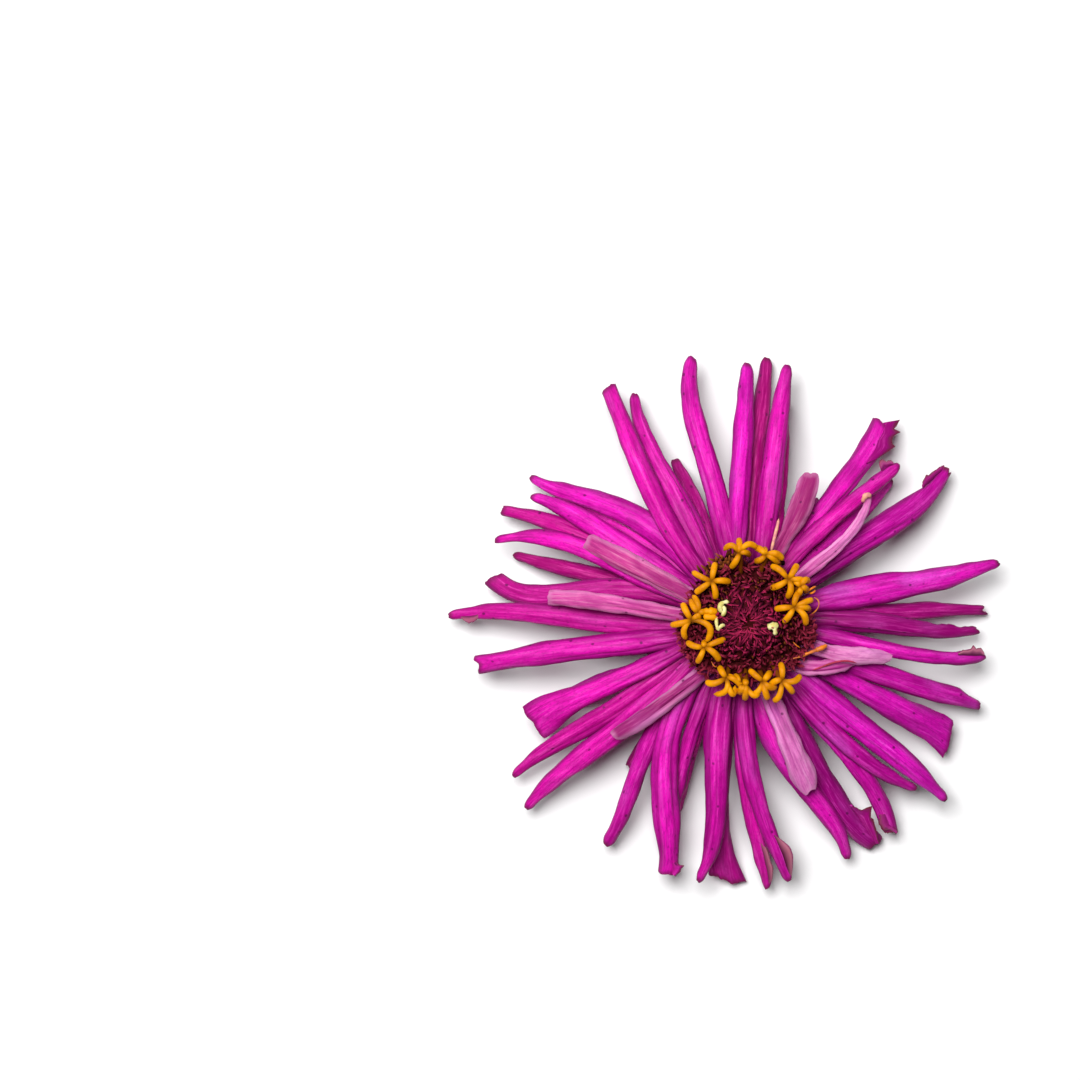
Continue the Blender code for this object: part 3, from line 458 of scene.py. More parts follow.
def grown(name, template, paths, widths, flatness=1.0, across=(0.31, 0.17, 0.94)):
    """One object: a copy of the stick bent along each path, with how far along it each point lies.

    paths is (copies, rings + 1, 3) and widths the same in two dimensions. flatness is the size at right
    angles to the widths for a width of one, and across sets which way the widths run.
    """
    points, faces = template
    ring = np.rint(points[:, 2] * (paths.shape[1] - 1)).astype(int)
    ahead = unit(np.gradient(paths, axis=1))
    side = unit(np.cross(np.broadcast_to(across, paths.shape), ahead))
    other = np.cross(ahead, side)
    bent = (
        paths[:, ring]
        + side[:, ring] * (widths[:, ring] * points[:, 0])[..., None]
        + other[:, ring] * ((widths * flatness)[:, ring] * points[:, 1])[..., None]
    )
    count, size = bent.shape[:2]
    copies = [tuple(corner + size * k for corner in face) for k in range(count) for face in faces]
    made = built(name, bent.reshape(-1, 3), [], copies)
    note(made, along=np.tile(points[:, 2], count))
    return made


def turned(name, profile, steps):
    """A round piece turned about the Z axis from (radius, height) points."""
    made = built(name, [(r, 0.0, z) for r, z in profile], [(i, i + 1) for i in range(len(profile) - 1)], [])
    active(made)
    bpy.ops.object.mode_set(mode="EDIT")
    bpy.ops.mesh.select_all(action="SELECT")
    bpy.ops.mesh.spin(steps=steps, angle=math.tau, center=(0, 0, 0), axis=(0, 0, 1))
    bpy.ops.mesh.select_all(action="SELECT")
    bpy.ops.mesh.remove_doubles(threshold=2e-6)
    bpy.ops.mesh.normals_make_consistent(inside=False)
    bpy.ops.object.mode_set(mode="OBJECT")
    return made


def finished(made, material, slot, *nodes, angle=50.0):
    """Gives a piece its material, shading and body, and hides the CAD nodes that it stands for. slot is not
    used.
    """
    made.data.materials.append(material)
    active(made)
    bpy.ops.object.shade_smooth_by_angle(angle=math.radians(angle))
    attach(made, "root")
    if nodes:
        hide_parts(*nodes)


# ---- tools for materials
def hex_colour(code):
    """Linear red, green, blue and 1 from six sRGB hex digits."""
    channels = [int(code[i:i + 2], 16) / 255 for i in (0, 2, 4)]
    return [c / 12.92 if c <= 0.04045 else ((c + 0.055) / 1.055) ** 2.4 for c in channels] + [1.0]


def put(tree, made, socket, value):
    """Links a socket's value, or sets it. A text is a colour in hex."""
    if isinstance(value, bpy.types.NodeSocket):
        tree.links.new(value, made.inputs[socket])
    else:
        made.inputs[socket].default_value = hex_colour(value) if isinstance(value, str) else value


def add(tree, kind, inputs=(), **settings):
    """Adds a node with its settings, and sets or links its inputs. Returns its first output."""
    made = tree.nodes.new(kind)
    for name, value in settings.items():
        setattr(made, name, value)
    for socket, value in dict(inputs).items():
        put(tree, made, socket, value)
    return made.outputs[0]


def new_material(name):
    """A material, its node tree and its Principled shader."""
    made = bpy.data.materials.new(name)
    made.use_nodes = True
    return made, made.node_tree, made.node_tree.nodes["Principled BSDF"]


def reads(tree, name):
    """The number that note() wrote under this name."""
    return add(tree, "ShaderNodeAttribute", attribute_name=name).node.outputs["Fac"]


def object_place(tree):
    return add(tree, "ShaderNodeTexCoord").node.outputs["Object"]


def plus(tree, a, b):
    return add(tree, "ShaderNodeMath", {0: a, 1: b}, operation="ADD")


def times(tree, a, b, clamp=False):
    return add(tree, "ShaderNodeMath", {0: a, 1: b}, operation="MULTIPLY", use_clamp=clamp)


def greatest(tree, a, b):
    return add(tree, "ShaderNodeMath", {0: a, 1: b}, operation="MAXIMUM")


def between(tree, value, low, high, to_low=0.0, to_high=1.0):
    """value from low to high, turned evenly into to_low to to_high and held there."""
    inputs = {"Value": value, "From Min": low, "From Max": high, "To Min": to_low, "To Max": to_high}
    return add(tree, "ShaderNodeMapRange", inputs, interpolation_type="SMOOTHSTEP")


def ramp(tree, value, *stops):
    """Colours between (place, hex) stops."""
    colour = add(tree, "ShaderNodeValToRGB", {"Fac": value})
    elements = colour.node.color_ramp.elements
    while len(elements) < len(stops):
        elements.new(0.5)
    for element, (place, code) in zip(elements, stops):
        element.position = place
        element.color = hex_colour(code)
    return colour


def mixed(tree, share, a, b, blend="MIX"):
    """Colour a turned into colour b by the share."""
    inputs = {0: share, 6: a, 7: b}
    return add(tree, "ShaderNodeMix", inputs, data_type="RGBA", blend_type=blend).node.outputs[2]


def layered(tree, body, *layers):
    """The body colour with each layer over it: value, from where to where it sets in, share and colour."""
    for value, low, high, share, colour in layers:
        body = mixed(tree, between(tree, value, low, high, 0.0, share), body, colour)
    return body


def noise(tree, vector, scale, detail=2.0, roughness=0.5):
    inputs = {"Vector": vector, "Scale": scale, "Detail": detail, "Roughness": roughness}
    return add(tree, "ShaderNodeTexNoise", inputs)


def finish_shader(tree, shader, colour, height, strength, distance, **values):
    """Links the colour and a relief distance millimetres deep, and sets the other sockets by name."""
    relief = {"Height": height, "Strength": strength, "Distance": distance * MM}
    put(tree, shader, "Base Color", colour)
    put(tree, shader, "Normal", add(tree, "ShaderNodeBump", relief))
    for name, value in values.items():
        put(tree, shader, name.replace("_", " "), value)


# ---- materials
def petal_material(name, pale):
    """Fresh zinnia petal: thin, smooth and full of sap, with soft lengthwise furrows.

    Painted shade makes the magenta deepest in the furrows, near the disc at the root, where the margins
    turn under and towards the tip; the pale petals get painted light along their margins. The end dries
    brown. The underside is a dull dusty pink.
    """
    made, tree, shader = new_material(name)
    along, across, tone, cool = [reads(tree, key) for key in ("along", "across", "tone", "cool")]
    edge, tip, groove, rim = [reads(tree, key) for key in ("edge", "tip", "groove", "rim")]
    shift = times(tree, reads(tree, "seed"), 37.0)
    beside = plus(tree, across, shift)

    def squeezed(factor):
        """Place on the petal with its length squeezed, so that patterns run lengthwise."""
        return add(tree, "ShaderNodeCombineXYZ", {"X": beside, "Y": times(tree, along, factor), "Z": shift})

    # vein streaks about 0.3 mm wide and 10 mm or more long, the lighter ones partly painted highlight, and
    # blotches a few millimetres long
    streak = noise(tree, squeezed(0.05), 2.2)
    fine_streak = noise(tree, squeezed(0.05), 5.5, 2.0, 0.6)
    blotch = noise(tree, squeezed(0.35), 0.55)
    grain = noise(tree, squeezed(0.35), 5.0)
    if pale:
        root = mixed(tree, tone, "8C1C68", "D850A8")
        crown = ramp(tree, tone, (0.0, "80205C"), (0.5, "D43CA2"), (1.0, "FFA6E4"))
        light, deep, margin, dried = mixed(tree, tone, "DC64B0", "FFBEEA"), "901C72", "ECA8D8", "98386C"
        light_share, deep_share, margin_share, grain_share = 0.50, 0.60, 0.38, 0.16
    else:
        root, crown = mixed(tree, tone, "5C0644", "9A1272"), mixed(tree, tone, "88006A", "F612C4")
        light, deep, margin, dried = "FF54DC", "860068", "6E0054", "6A2838"
        light_share, deep_share, margin_share, grain_share = 0.48, 0.46, 0.72, 0.34
    # the darker root colour is painted shade near the disc, and gives way to the crown colour over 14 mm
    body = layered(
        tree, root,
        (along, 0.5, 14.0, 1.0, crown),
        (streak, 0.52, 0.74, light_share, light), (streak, 0.48, 0.28, deep_share, deep),
        (fine_streak, 0.50, 0.70, 0.30, light), (fine_streak, 0.50, 0.30, 0.34, deep),
        (blotch, 0.42, 0.72, 0.40, deep),
    )
    # pale violet patches of several millimetres, on the petals that lean to violet
    violet_patches = between(tree, noise(tree, squeezed(0.35), 0.26), 0.54, 0.74, 0.0, 0.26)
    body = mixed(tree, times(tree, violet_patches, cool), body, "D070E8")
    body = layered(tree, body, (grain, 0.48, 0.66, grain_share, deep))
    # painted shade in the furrows
    body = mixed(tree, times(tree, groove, 0.45, True), body, deep)
    # painted shade, deepening over the last 12 mm towards the tip
    body = layered(tree, body, (tip, 12.0, 1.0, 0.26, deep))
    lean = mixed(tree, cool, [1.0, 1.0, 0.72, 1.0], [0.90, 1.0, 1.0, 1.0])
    body = mixed(tree, 1.0, body, lean, "MULTIPLY")
    # painted shade where the magenta petals' margins and ends turn under, painted light along the pale
    # petals' margins
    painted_margin_mask = greatest(tree, between(tree, rim, 0.48, 0.98), between(tree, edge, 0.4, 1.0))
    painted_margin_mask = greatest(tree, painted_margin_mask, between(tree, tip, 1.1, 0.0))
    body = mixed(tree, times(tree, painted_margin_mask, margin_share), body, margin)
    # dark specks 0.3 to 0.6 mm across, a few to a petal
    cells = add(tree, "ShaderNodeTexVoronoi", {"Vector": squeezed(0.8), "Scale": 0.52})
    chance = add(tree, "ShaderNodeSeparateColor", {"Color": cells.node.outputs["Color"]})
    speck = times(tree, between(tree, cells, 0.16, 0.07), between(tree, chance, 0.30, 0.36))
    body = mixed(tree, times(tree, speck, 0.82), body, "560844")
    # dried end
    reach = plus(tree, tip, grain)
    body = mixed(tree, times(tree, between(tree, reach, 1.5, 0.5), reads(tree, "brown")), body, dried)
    body = mixed(tree, times(tree, between(tree, reach, 0.8, 0.5), reads(tree, "black")), body, "241210")
    underside = mixed(tree, streak, "A84C84", "D48CB8")
    body = mixed(tree, times(tree, reads(tree, "under"), 0.8), body, underside)
    # the dusty inner side of a folded end: painted shade dark in the fold, brownish pink further out
    inner = mixed(tree, between(tree, tip, 1.9, 0.5), "4E0E34", mixed(tree, streak, "A0446C", "CC8494"))
    hollow = times(tree, reads(tree, "inside"), between(tree, rim, 0.97, 0.84, 0.15, 1.0))
    body = mixed(tree, hollow, body, inner)
    finish_shader(
        tree, shader, body, plus(tree, streak, times(tree, grain, 0.3)), 0.35, 0.12, Roughness=0.5,
        IOR=1.42, Specular_IOR_Level=0.15, Sheen_Weight=0.03, Sheen_Roughness=0.4, Sheen_Tint="FF60E0",
        Subsurface_Weight=0.06, Subsurface_Scale=0.4 * MM, Subsurface_Radius=(1.0, 0.1, 0.6),
    )
    return made


def star_material():
    """Open disc floret: soft waxy golden orange, dark in the throat, painted shade along the lobes' lower
    sides.
    """
    made, tree, shader = new_material("golden_floret_flesh")
    place = object_place(tree)
    fine = noise(tree, place, 2600.0, 3.0)
    body = layered(
        tree, "C07400",
        (noise(tree, place, 420.0), 0.3, 0.7, 1.0, "E09200"), (fine, 0.5, 0.75, 0.35, "F2A60A"),
        # painted shade along the lobes' lower sides
        (reads(tree, "edge"), 0.50, -0.30, 0.95, "8A4200"),
        (reads(tree, "along"), 0.28, 0.04, 0.85, "6A3404"),
    )
    finish_shader(
        tree, shader, body, fine, 0.4, 0.05, Roughness=0.5, IOR=1.42, Specular_IOR_Level=0.16,
        Subsurface_Weight=0.08, Subsurface_Scale=0.4 * MM, Subsurface_Radius=(1.0, 0.5, 0.1),
    )
    return made


def chaff_material(name, foot, middle, tip):
    """Papery chaff scale: dry, dull, near black where it grows and crimson at its fringed tip."""
    made, tree, shader = new_material(name)
    fine = noise(tree, object_place(tree), 1500.0, 3.0)
    body = ramp(tree, reads(tree, "along"), (0.0, foot), (0.45, middle), (1.0, tip))
    body = layered(tree, body, (reads(tree, "tone"), 0.35, 1.0, 0.7, foot), (fine, 0.45, 0.7, 0.35, foot))
    finish_shader(tree, shader, body, fine, 0.5, 0.08, Roughness=0.75, IOR=1.45, Specular_IOR_Level=0.06)
    return made


def plain_material(name, colour, second, scale, roughness=0.6, depth=0.05, specular=0.4):
    """A dull plant surface of two colours in a fine noise, scale grains to a metre."""
    made, tree, shader = new_material(name)
    grain = noise(tree, object_place(tree), scale, 3.0, 0.6)
    body = layered(tree, colour, (grain, 0.35, 0.65, 1.0, second))
    finish_shader(tree, shader, body, grain, 0.5, depth, Roughness=roughness, IOR=1.45,
                  Specular_IOR_Level=specular)
    return made


def bract_material():
    """Green bract: leathery, finely veined lengthwise, paler at its foot, with a dark fringed margin."""
    made, tree, shader = new_material("leathery_green_bract")
    along = reads(tree, "along")
    place = add(tree, "ShaderNodeCombineXYZ", {
        "X": plus(tree, reads(tree, "across"), reads(tree, "seed")), "Y": times(tree, along, 0.8)})
    vein = noise(tree, place, 3.2, 3.0)
    body = ramp(tree, along, (0.0, "A9B873"), (0.35, "6F8A3C"), (0.85, "4C6A2A"))
    fringe = plus(tree, reads(tree, "edge"), times(tree, vein, 0.10))
    body = layered(tree, body, (vein, 0.45, 0.7, 0.5, "8FA659"), (vein, 0.5, 0.3, 0.4, "3C5520"),
                   (fringe, 0.83, 0.93, 1.0, "1E1210"))
    finish_shader(tree, shader, body, vein, 0.5, 0.1, Roughness=0.55, IOR=1.45)
    return made


def floor_material():
    """Plain matt white board."""
    made, tree, shader = new_material("matt_white_board")
    put(tree, shader, "Base Color", "EAEAEA")
    put(tree, shader, "Roughness", 0.9)
    put(tree, shader, "Specular IOR Level", 0.2)
    return made


# ---- petals
def petal_spine(tier, reach, bearings, t):
    """The petal's middle line, which the solids follow too."""
    radius = ROOT_REACH + (reach - ROOT_REACH) * t
    free = np.maximum(radius - DISC_RIM, 0.0) / (reach - DISC_RIM)
    root, tip = ROOT_HEIGHT[tier], TIP_HEIGHT[tier]
    height = root + (tip - root) * free ** DROOP + LIFT[tier] * np.sin(np.pi * np.minimum(free, 1.0))
    return polar(radius, through(bearings, t), height)


def make_petal(petal, rows=ALONG, columns=ACROSS):
    """One petal with its own curl, roll, furrows and end, and the notes that its material reads."""
    name, tier, reach, bearings, widths, end, mid_roll, tip_roll, slant, furrow, tone, cool = petal
    end_curl, swell, round_end, notch, rag, brown = ENDS[end]
    draw = random.Random(name)
    made, t, s = grid(rows, columns)
    order = np.lexsort((s, t))
    t, s = t[order].reshape(rows + 1, -1), s[order].reshape(rows + 1, -1)
    t = 1 - (1 - t) ** TIP_FINENESS
    length = reach - ROOT_REACH

    # the end's outline: a notch, a slant and teeth, worked in over the last few millimetres
    teeth = wavy(draw, s, 5.0, 9.0, 14.0, 23.0)
    outline = slant * s / 2 - notch * np.exp(-(s / 0.35) ** 2) + rag * teeth - 0.4 * round_end * s ** 4
    far = t + outline / length * smooth(0.72, 1.0, t) ** 1.5

    before, spine, after = [petal_spine(tier, reach, bearings, far + step) for step in (-0.02, 0.0, 0.02)]
    ahead = unit(after - before)
    side = unit(np.cross((0.0, 0.0, 1.0), ahead))
    up = np.cross(ahead, side)
    wobble = wavy(draw, t, 5.0, 9.0) * 4.0
    roll = np.radians(through((0.0, mid_roll * 0.7, mid_roll, tip_roll), t) + wobble * t)[..., None]
    side, up = side * np.cos(roll) + up * np.sin(roll), up * np.cos(roll) - side * np.sin(roll)

    # the section: the tangent turns down from the crown to each margin
    middle_curl = MID_CURL * draw.uniform(0.92, 1.08) - 9.0 * max(max(widths[:2]) - 3.2, 0.0)
    curl = eased((60.0, middle_curl, middle_curl, end_curl), t)
    lean = draw.uniform(-0.15, 0.15)
    bend = np.radians(curl) * (1 + lean * np.sign(s)) * np.sign(s) * np.abs(s) ** MARGIN_POWER
    step = np.diff(s, axis=1)
    middle = (bend[:, 1:] + bend[:, :-1]) / 2
    runs = np.cos(middle) * step, -np.sin(middle) * step
    x, y = [np.insert(np.cumsum(run, axis=1), 0, 0.0, axis=1) for run in runs]
    half = columns // 2
    x, y = x - x[:, half:half + 1], y - y[:, half:half + 1]
    young = np.clip(3.0 * t, 0.0, 1.0)
    opening = ROOT_WIDTH + (widths[0] - ROOT_WIDTH) * (1 - (1 - young) ** 2.2)
    width = np.where(t < 1 / 3, opening, eased((ROOT_WIDTH, *widths), t))
    width = width * (1 + 0.03 * wavy(draw, t, 11.0, 23.0))
    width = width * (1 + swell * np.exp(-((t - 0.87) / 0.05) ** 2))
    rounding = np.clip(1 - (1 - t) * length / max(0.62 * widths[2], 0.9), 0.0, 1.0)
    width = width * np.sqrt(1 - (round_end * rounding) ** 2)
    size = width / (x.max(axis=1) - x.min(axis=1))[:, None]
    for sign, factors in zip((1, -1), MARGINS.get(name, ())):
        x = np.where(s * sign > 0, x * np.interp(t, MARGIN_PLACES, factors), x)
    if name in NIBBLED:
        bites = 0.5 + 0.5 * wavy(draw, t, 47.0, 83.0, 140.0)
        eaten = 1 - 0.28 * np.clip(bites, 0, 1) * smooth(0.68, 0.80, t)
        x = np.where(s * NIBBLED[name] > 0, x * eaten, x)

    # broad furrows that come and go, and slight puckers
    groove = 0.0
    for centre, weight in FURROWS:
        place = centre + draw.uniform(-0.12, 0.12) + 0.10 * np.sin(2.5 * t + draw.uniform(0, math.tau))
        start, stop = draw.uniform(0.0, 0.15), draw.uniform(0.55, 1.0)
        shown = smooth(start, start + 0.15, t) * (1 - smooth(stop - 0.3, stop + 0.1, t))
        weight = weight * draw.uniform(0.45, 1.0) * shown
        groove = groove + weight * np.exp(-((s - place) / draw.uniform(0.11, 0.19)) ** 2)
    ripple = 0.014 * np.sin(26.0 * s + 2.0 * t + draw.uniform(0, math.tau))
    depth = -FURROW_DEPTH * furrow * groove + ripple + 0.05 * wavy(draw, t + 0.15 * s, 26.0, 41.0, 67.0)
    normal = side * np.sin(bend)[..., None] + up * np.cos(bend)[..., None]

    points = spine + side * (size * x)[..., None] + up * (size * y)[..., None] + normal * depth[..., None]
    back = np.argsort(order)

    def listed(values):
        """The values in the order of the sheet's own points."""
        return np.broadcast_to(values, s.shape).ravel()[back]

    set_points(made, points.reshape(-1, 3)[back])
    # edge and rim tell the material where to paint shade or light on the turned-under margins
    edge = np.maximum(np.abs(bend) / (math.pi / 2), np.abs(s) ** 6)
    outward = np.abs(x) / np.abs(x).max(axis=1, keepdims=True)
    note(made, along=listed(t * length), across=listed(s * size), edge=listed(edge), rim=listed(outward),
         groove=listed(groove * furrow), tip=listed((1 - t) * length), tone=tone, seed=draw.random(),
         cool=cool, brown=brown, black=float(name in BLACK_TIPS))
    thickened(made, PETAL_THICK, 0.55, listed(s))
    count = len(made.data.vertices) // 2
    note(made, under=np.repeat((0.0, 1.0), count))
    lay_out(made, count, listed(t), listed(s), rows * columns)
    return made


def lay_out(made, count, t, s, cells):
    """Gives a thickened sheet its own flat layout: top face, its rim round it, then the underside."""
    layout = made.data.uv_layers.new(name="OFBake")
    corner = pulled(made.data.loops, "vertex_index", 1, int)
    face_of = np.repeat(np.arange(len(made.data.polygons)), [len(f.vertices) for f in made.data.polygons])
    rim = face_of >= 2 * cells
    under = (face_of >= cells) & ~rim
    outside = rim & (corner >= count)
    along, across = t[corner % count], (s[corner % count] + 1) / 2
    u = 0.06 + 0.38 * across
    v = 0.02 + 0.96 * along
    for flat, share, margin in ((u, across, 0.04), (v, along, 0.015)):
        flat += margin * outside * ((share > 0.999) * 1.0 - (share < 0.001))
    u = np.where(under, 0.56 + 0.38 * across, u)
    layout.data.foreach_set("uv", np.stack([u, v], axis=-1).astype(np.float32).ravel())


def pack_layout(parts, columns):
    """Moves the parts' flat layouts into the cells of one sheet."""
    rows = math.ceil(len(parts) / columns)
    for index, part in enumerate(parts):
        layer = part.data.uv_layers["OFBake"].data
        flat = pulled(layer, "uv", 2).reshape(-1, 2) + np.array((index % columns, index // columns))
        layer.foreach_set("uv", (flat / (columns, rows)).astype(np.float32).ravel())


def make_flap(row):
    """A fold or curl at a petal's end, between its inner edge and its rim."""
    name, tone, inside, brown, rise, inner, rim = row
    _, tier, reach, bearings, *_ = next(petal for petal in PETALS if petal[0] == name)
    draw = random.Random(name + "flap")
    made, t, s = grid(FLAP_ALONG, FLAP_ACROSS)
    out = (s + 1) / 2
    edges = []
    for line in (inner, rim):
        line = np.reshape(line, (-1, 2))
        edges.append(np.column_stack([np.interp(t, np.linspace(0, 1, len(line)), part) for part in line.T]))
    ragged = 1 + 0.10 * brown * wavy(draw, t, 17.0, 31.0, 53.0) * out ** 3
    flat = edges[0] + (edges[1] - edges[0]) * (out * ragged)[:, None]
    distance = np.hypot(flat[:, 0], flat[:, 1])
    spine = petal_spine(tier, reach, bearings, (distance - ROOT_REACH) / (reach - ROOT_REACH))
    height = spine[:, 2] - 0.25 + rise * out + 0.35 * np.sin(np.pi * out)
    set_points(made, np.column_stack([flat, height]))
    # groove and tip paint shade along the fold's inner edge; edge and rim set the painted margin
    note(made, along=distance - ROOT_REACH, across=out * 2.0, edge=out ** 5, groove=0.3 * (1 - out) ** 2,
         rim=out, tip=2.5 * (1 - out), tone=tone, seed=draw.random(), brown=brown, inside=inside, cool=0.5)
    thickened(made, PETAL_THICK, 0.6, s)
    lay_out(made, len(made.data.vertices) // 2, t, s, FLAP_ALONG * FLAP_ACROSS)
    return made


def make_petals():
    magenta = petal_material("fresh_magenta_petal", pale=False)
    young = petal_material("fresh_pale_pink_petal", pale=True)
    groups = {"petals_low": [], "petals_middle": [], "petals_upper": [], "petals_pale": []}
    for petal in PETALS:
        groups[list(groups)[petal[1]]].append(make_petal(petal))
    for bearing, reach in HIDDEN_PETALS:
        petal = (f"hidden_{bearing}", HIDDEN_TIER, reach, (bearing,) * 4, *HIDDEN_LOOK)
        groups["petals_low"].append(make_petal(petal, HIDDEN_ALONG, HIDDEN_ACROSS))
    groups["petals_upper"] += [make_flap(row) for row in FLAPS]
    for name, parts in groups.items():
        pale = name == "petals_pale"
        pack_layout(parts, 4 if pale else 7)
        finished(joined(name, parts), young if pale else magenta, "magenta_petals", "ray_florets")


def make_roots():
    """The ring that the petals' roots form between the bracts and the disc, ribbed by the roots."""
    inner, outer = SEAT_TOP * 0.42, DISC_RIM - 0.9
    low, high = CUP_HIGH.z - 4.4, DISC_FOOT - GAP
    profile = (
        (inner, low), (outer - 1.2, low), (outer - 0.3, low + 0.6), (outer, low + 1.4),
        (outer, high - 1.2), (outer - 0.3, high - 0.4), (outer - 0.9, high), (inner, high), (inner, low),
    )
    ring = turned("petal_roots", profile, 220)
    points = get_points(ring) / MM
    bearing = np.arctan2(points[:, 1], points[:, 0])
    outward = np.hypot(points[:, 0], points[:, 1])
    rib = 1 + 0.022 * np.cos(bearing * len(PETALS)) * smooth(inner + 1, outer, outward)
    set_points(ring, points * np.stack([rib, rib, np.ones_like(rib)], axis=-1))
    material = plain_material("shaded_petal_root", "5A1648", "3C0E2C", 900.0, specular=0.1)
    finished(ring, material, "magenta_petals", "ray_florets")


# ---- disc florets
def lobe_paths(star):
    """Middle lines and half widths of one star's lobes, each arched up from the throat and over."""
    draw = random.Random(str(tuple(map(float, star[:2]))))
    u = np.linspace(0.0, 1.0, LOBE_RINGS + 1)[:, None]
    places = np.reshape(star, (-1, 2)) + DISC_OFF
    paths, widths = [], []
    for halfway, end in zip(places[1::2], places[2::2]):
        flat = places[0] * (1 - u) * (1 - 2 * u) + halfway * 4 * u * (1 - u) + end * u * (2 * u - 1)
        seen = np.linalg.norm(np.diff(flat, axis=0), axis=1).sum()
        drop = 0.35 + 0.62 * math.sqrt(max(LOBE_REACH ** 2 - seen ** 2, 0.0)) + draw.uniform(0.0, 0.4)
        height = STAR_HEIGHT - 0.2 + 0.75 * np.sin(np.pi * u ** 0.8) - drop * u ** 2
        paths.append(np.concatenate([flat, height], axis=1))
        swell = 0.60 + 0.40 * np.sin(np.pi * np.clip(u[:, 0] / 1.25, 0, 1))
        rounded = np.sqrt(np.clip(1 - ((u[:, 0] - 0.84) / 0.165).clip(0) ** 2, 0.0, 1.0))
        widths.append(LOBE_HALF * draw.uniform(0.92, 1.08) * swell * np.maximum(rounded, 0.06))
    return np.array(paths), np.array(widths)


def make_stars():
    lobe = stick(12, LOBE_RINGS)
    paths, widths = [np.concatenate(parts) for parts in zip(*(lobe_paths(star) for star in STARS))]
    lobes = grown("star_lobes", lobe, paths, widths, 0.8, (0.0, 0.0, 1.0))
    # edge: how high on its section a point lies, which the material darkens as painted shade on the low
    # side
    note(lobes, edge=np.tile(lobe[0][:, 1], len(paths)))

    tube = stick(10, 6)
    u = np.linspace(0, 1, 7)[:, None]
    routes = []
    for star in STARS:
        x, y = np.array(star[:2]) + DISC_OFF
        foot = polar(8.5, math.degrees(math.atan2(y, x)), DISC_TOP)
        mouth = np.array((x, y, STAR_HEIGHT - 0.35))
        routes.append(foot + (mouth - foot) * np.hstack([u ** 1.6, u ** 1.6, u]))
    routes = np.array(routes)
    tubes = grown("star_tubes", tube, routes, np.broadcast_to(0.42 + 0.24 * u[:, 0] ** 3, routes.shape[:2]))
    # the tubes take the throat's dark colour and the full painted shade of the lobes' lower sides
    note(tubes, along=0.02, edge=-0.45)
    blocks = strands("bud_blocks", BUD_BLOCKS, 12, 8)
    note(blocks, edge=0.6, along=0.6)
    stars = joined("floret_stars", [lobes, tubes, blocks])
    finished(stars, star_material(), "yellow_florets", "disc_florets", angle=80.0)


def strands(name, rows, sides, rings):
    """A soft round strand for each row."""
    u = np.linspace(0, 1, rings + 1)
    draw = np.random.default_rng(len(rows))
    paths = np.array([through(np.reshape(row[1:], (4, 3)), u[:, None]) for row in rows])
    paths[..., :2] += DISC_OFF
    fullness = np.sqrt(np.clip(1 - np.abs(2 * u - 1) ** 5, 0.02, 1.0))
    uneven = 1 + 0.12 * draw.standard_normal((len(rows), rings + 1))
    widths = np.array([row[0] for row in rows])[:, None] * fullness * uneven
    made = grown(name, stick(sides, rings), paths, widths, 0.8)
    note(made, tone=0.0)
    return made


def make_bits():
    """Curled bits over the disc: cream flakes, a dried bud, a petal's rust edge, orange and tan styles."""
    for name, rows, rings, slot, angle, look in (
        ("cream_flakes", CREAM_BITS, 9, "yellow_florets", 80.0,
         ("cream_dry_flake", "EDE4A8", "C9BC62", 900.0, 0.6, 0.08)),
        ("dry_petal_bud", DRY_BUD, 9, "magenta_petals", 80.0,
         ("peach_dry_bud", "EEAE88", "CC7884", 900.0, 0.6, 0.08)),
        ("rust_petal_edge", RUST_EDGE, 12, "magenta_petals", 50.0,
         ("rust_dried_edge", "8C1C28", "B42C50", 700.0, 0.6, 0.06)),
        ("orange_styles", STYLES, 10, "yellow_florets", 80.0,
         ("orange_style_thread", "E07808", "B8602C", 500.0, 0.5, 0.04)),
    ):
        finished(strands(name, rows, 8, rings), plain_material(*look), slot, angle=angle)


# ---- chaff
def dome_height(radius):
    rise = DOME_RISE * np.sqrt(np.clip(1.0 - (radius / DOME_RADIUS) ** 2.6, 0.0, 1.0))
    return DISC_TOP + rise - PIT_DEPTH * np.exp(-(radius / PIT_RADIUS) ** 2)


def bristles(count, inner, outer, rise, lean, width, seed, swirl, curl, *arcs):
    """Chaff tips spread evenly over a ring, each rising and bending lean millimetres to the middle."""
    draw = np.random.default_rng(seed)
    template = stick(BRISTLE_SIDES, BRISTLE_RINGS)
    station = np.linspace(0, 1, BRISTLE_RINGS + 1)
    u = station[None, :, None]
    k = np.arange(count)
    radius = np.sqrt(inner ** 2 + (outer ** 2 - inner ** 2) * (k + draw.random(count)) / count)
    bearing = k * GOLDEN_TURN + draw.uniform(-12, 12, count)
    if arcs:
        low, high = np.array(arcs, float)[draw.integers(0, len(arcs), count)].T
        bearing = low + (high - low) * draw.random(count)
    foot = polar(radius, bearing, dome_height(radius) - 0.3)
    foot[:, :2] += PIT_PLACE * np.clip(1 - radius / DOME_RADIUS, 0, 1)[:, None]
    heading = unit(polar(-1.0, bearing + draw.uniform(-swirl, swirl, count), 0.0))[:, None, :]
    up = np.array((0.0, 0.0, 1.0))

    def drawn(size, low, high):
        return size * draw.uniform(low, high, count)[:, None, None]

    long, high = drawn(lean, 0.7, 1.25), drawn(rise, 0.6, 1.3)
    sway, kink = drawn(curl, -1, 1), drawn(curl * 0.35, -1, 1)
    paths = (
        foot[:, None, :]
        + heading * (long * u ** 1.4 + kink * np.sin(5.0 * u))
        + np.cross(heading, up) * (sway * u ** 2 + kink * np.sin(4.0 * u + 1.0))
        + up * high * np.sin(np.pi * 0.62 * u)
    )
    sizes = width * draw.uniform(0.7, 1.3, count)[:, None] * (1.0 - 0.75 * station[None, :] ** 2.2)
    made = grown("bristles", template, paths, sizes, 0.6)
    note(made, tone=np.repeat(draw.random(count), len(template[0])))
    return made


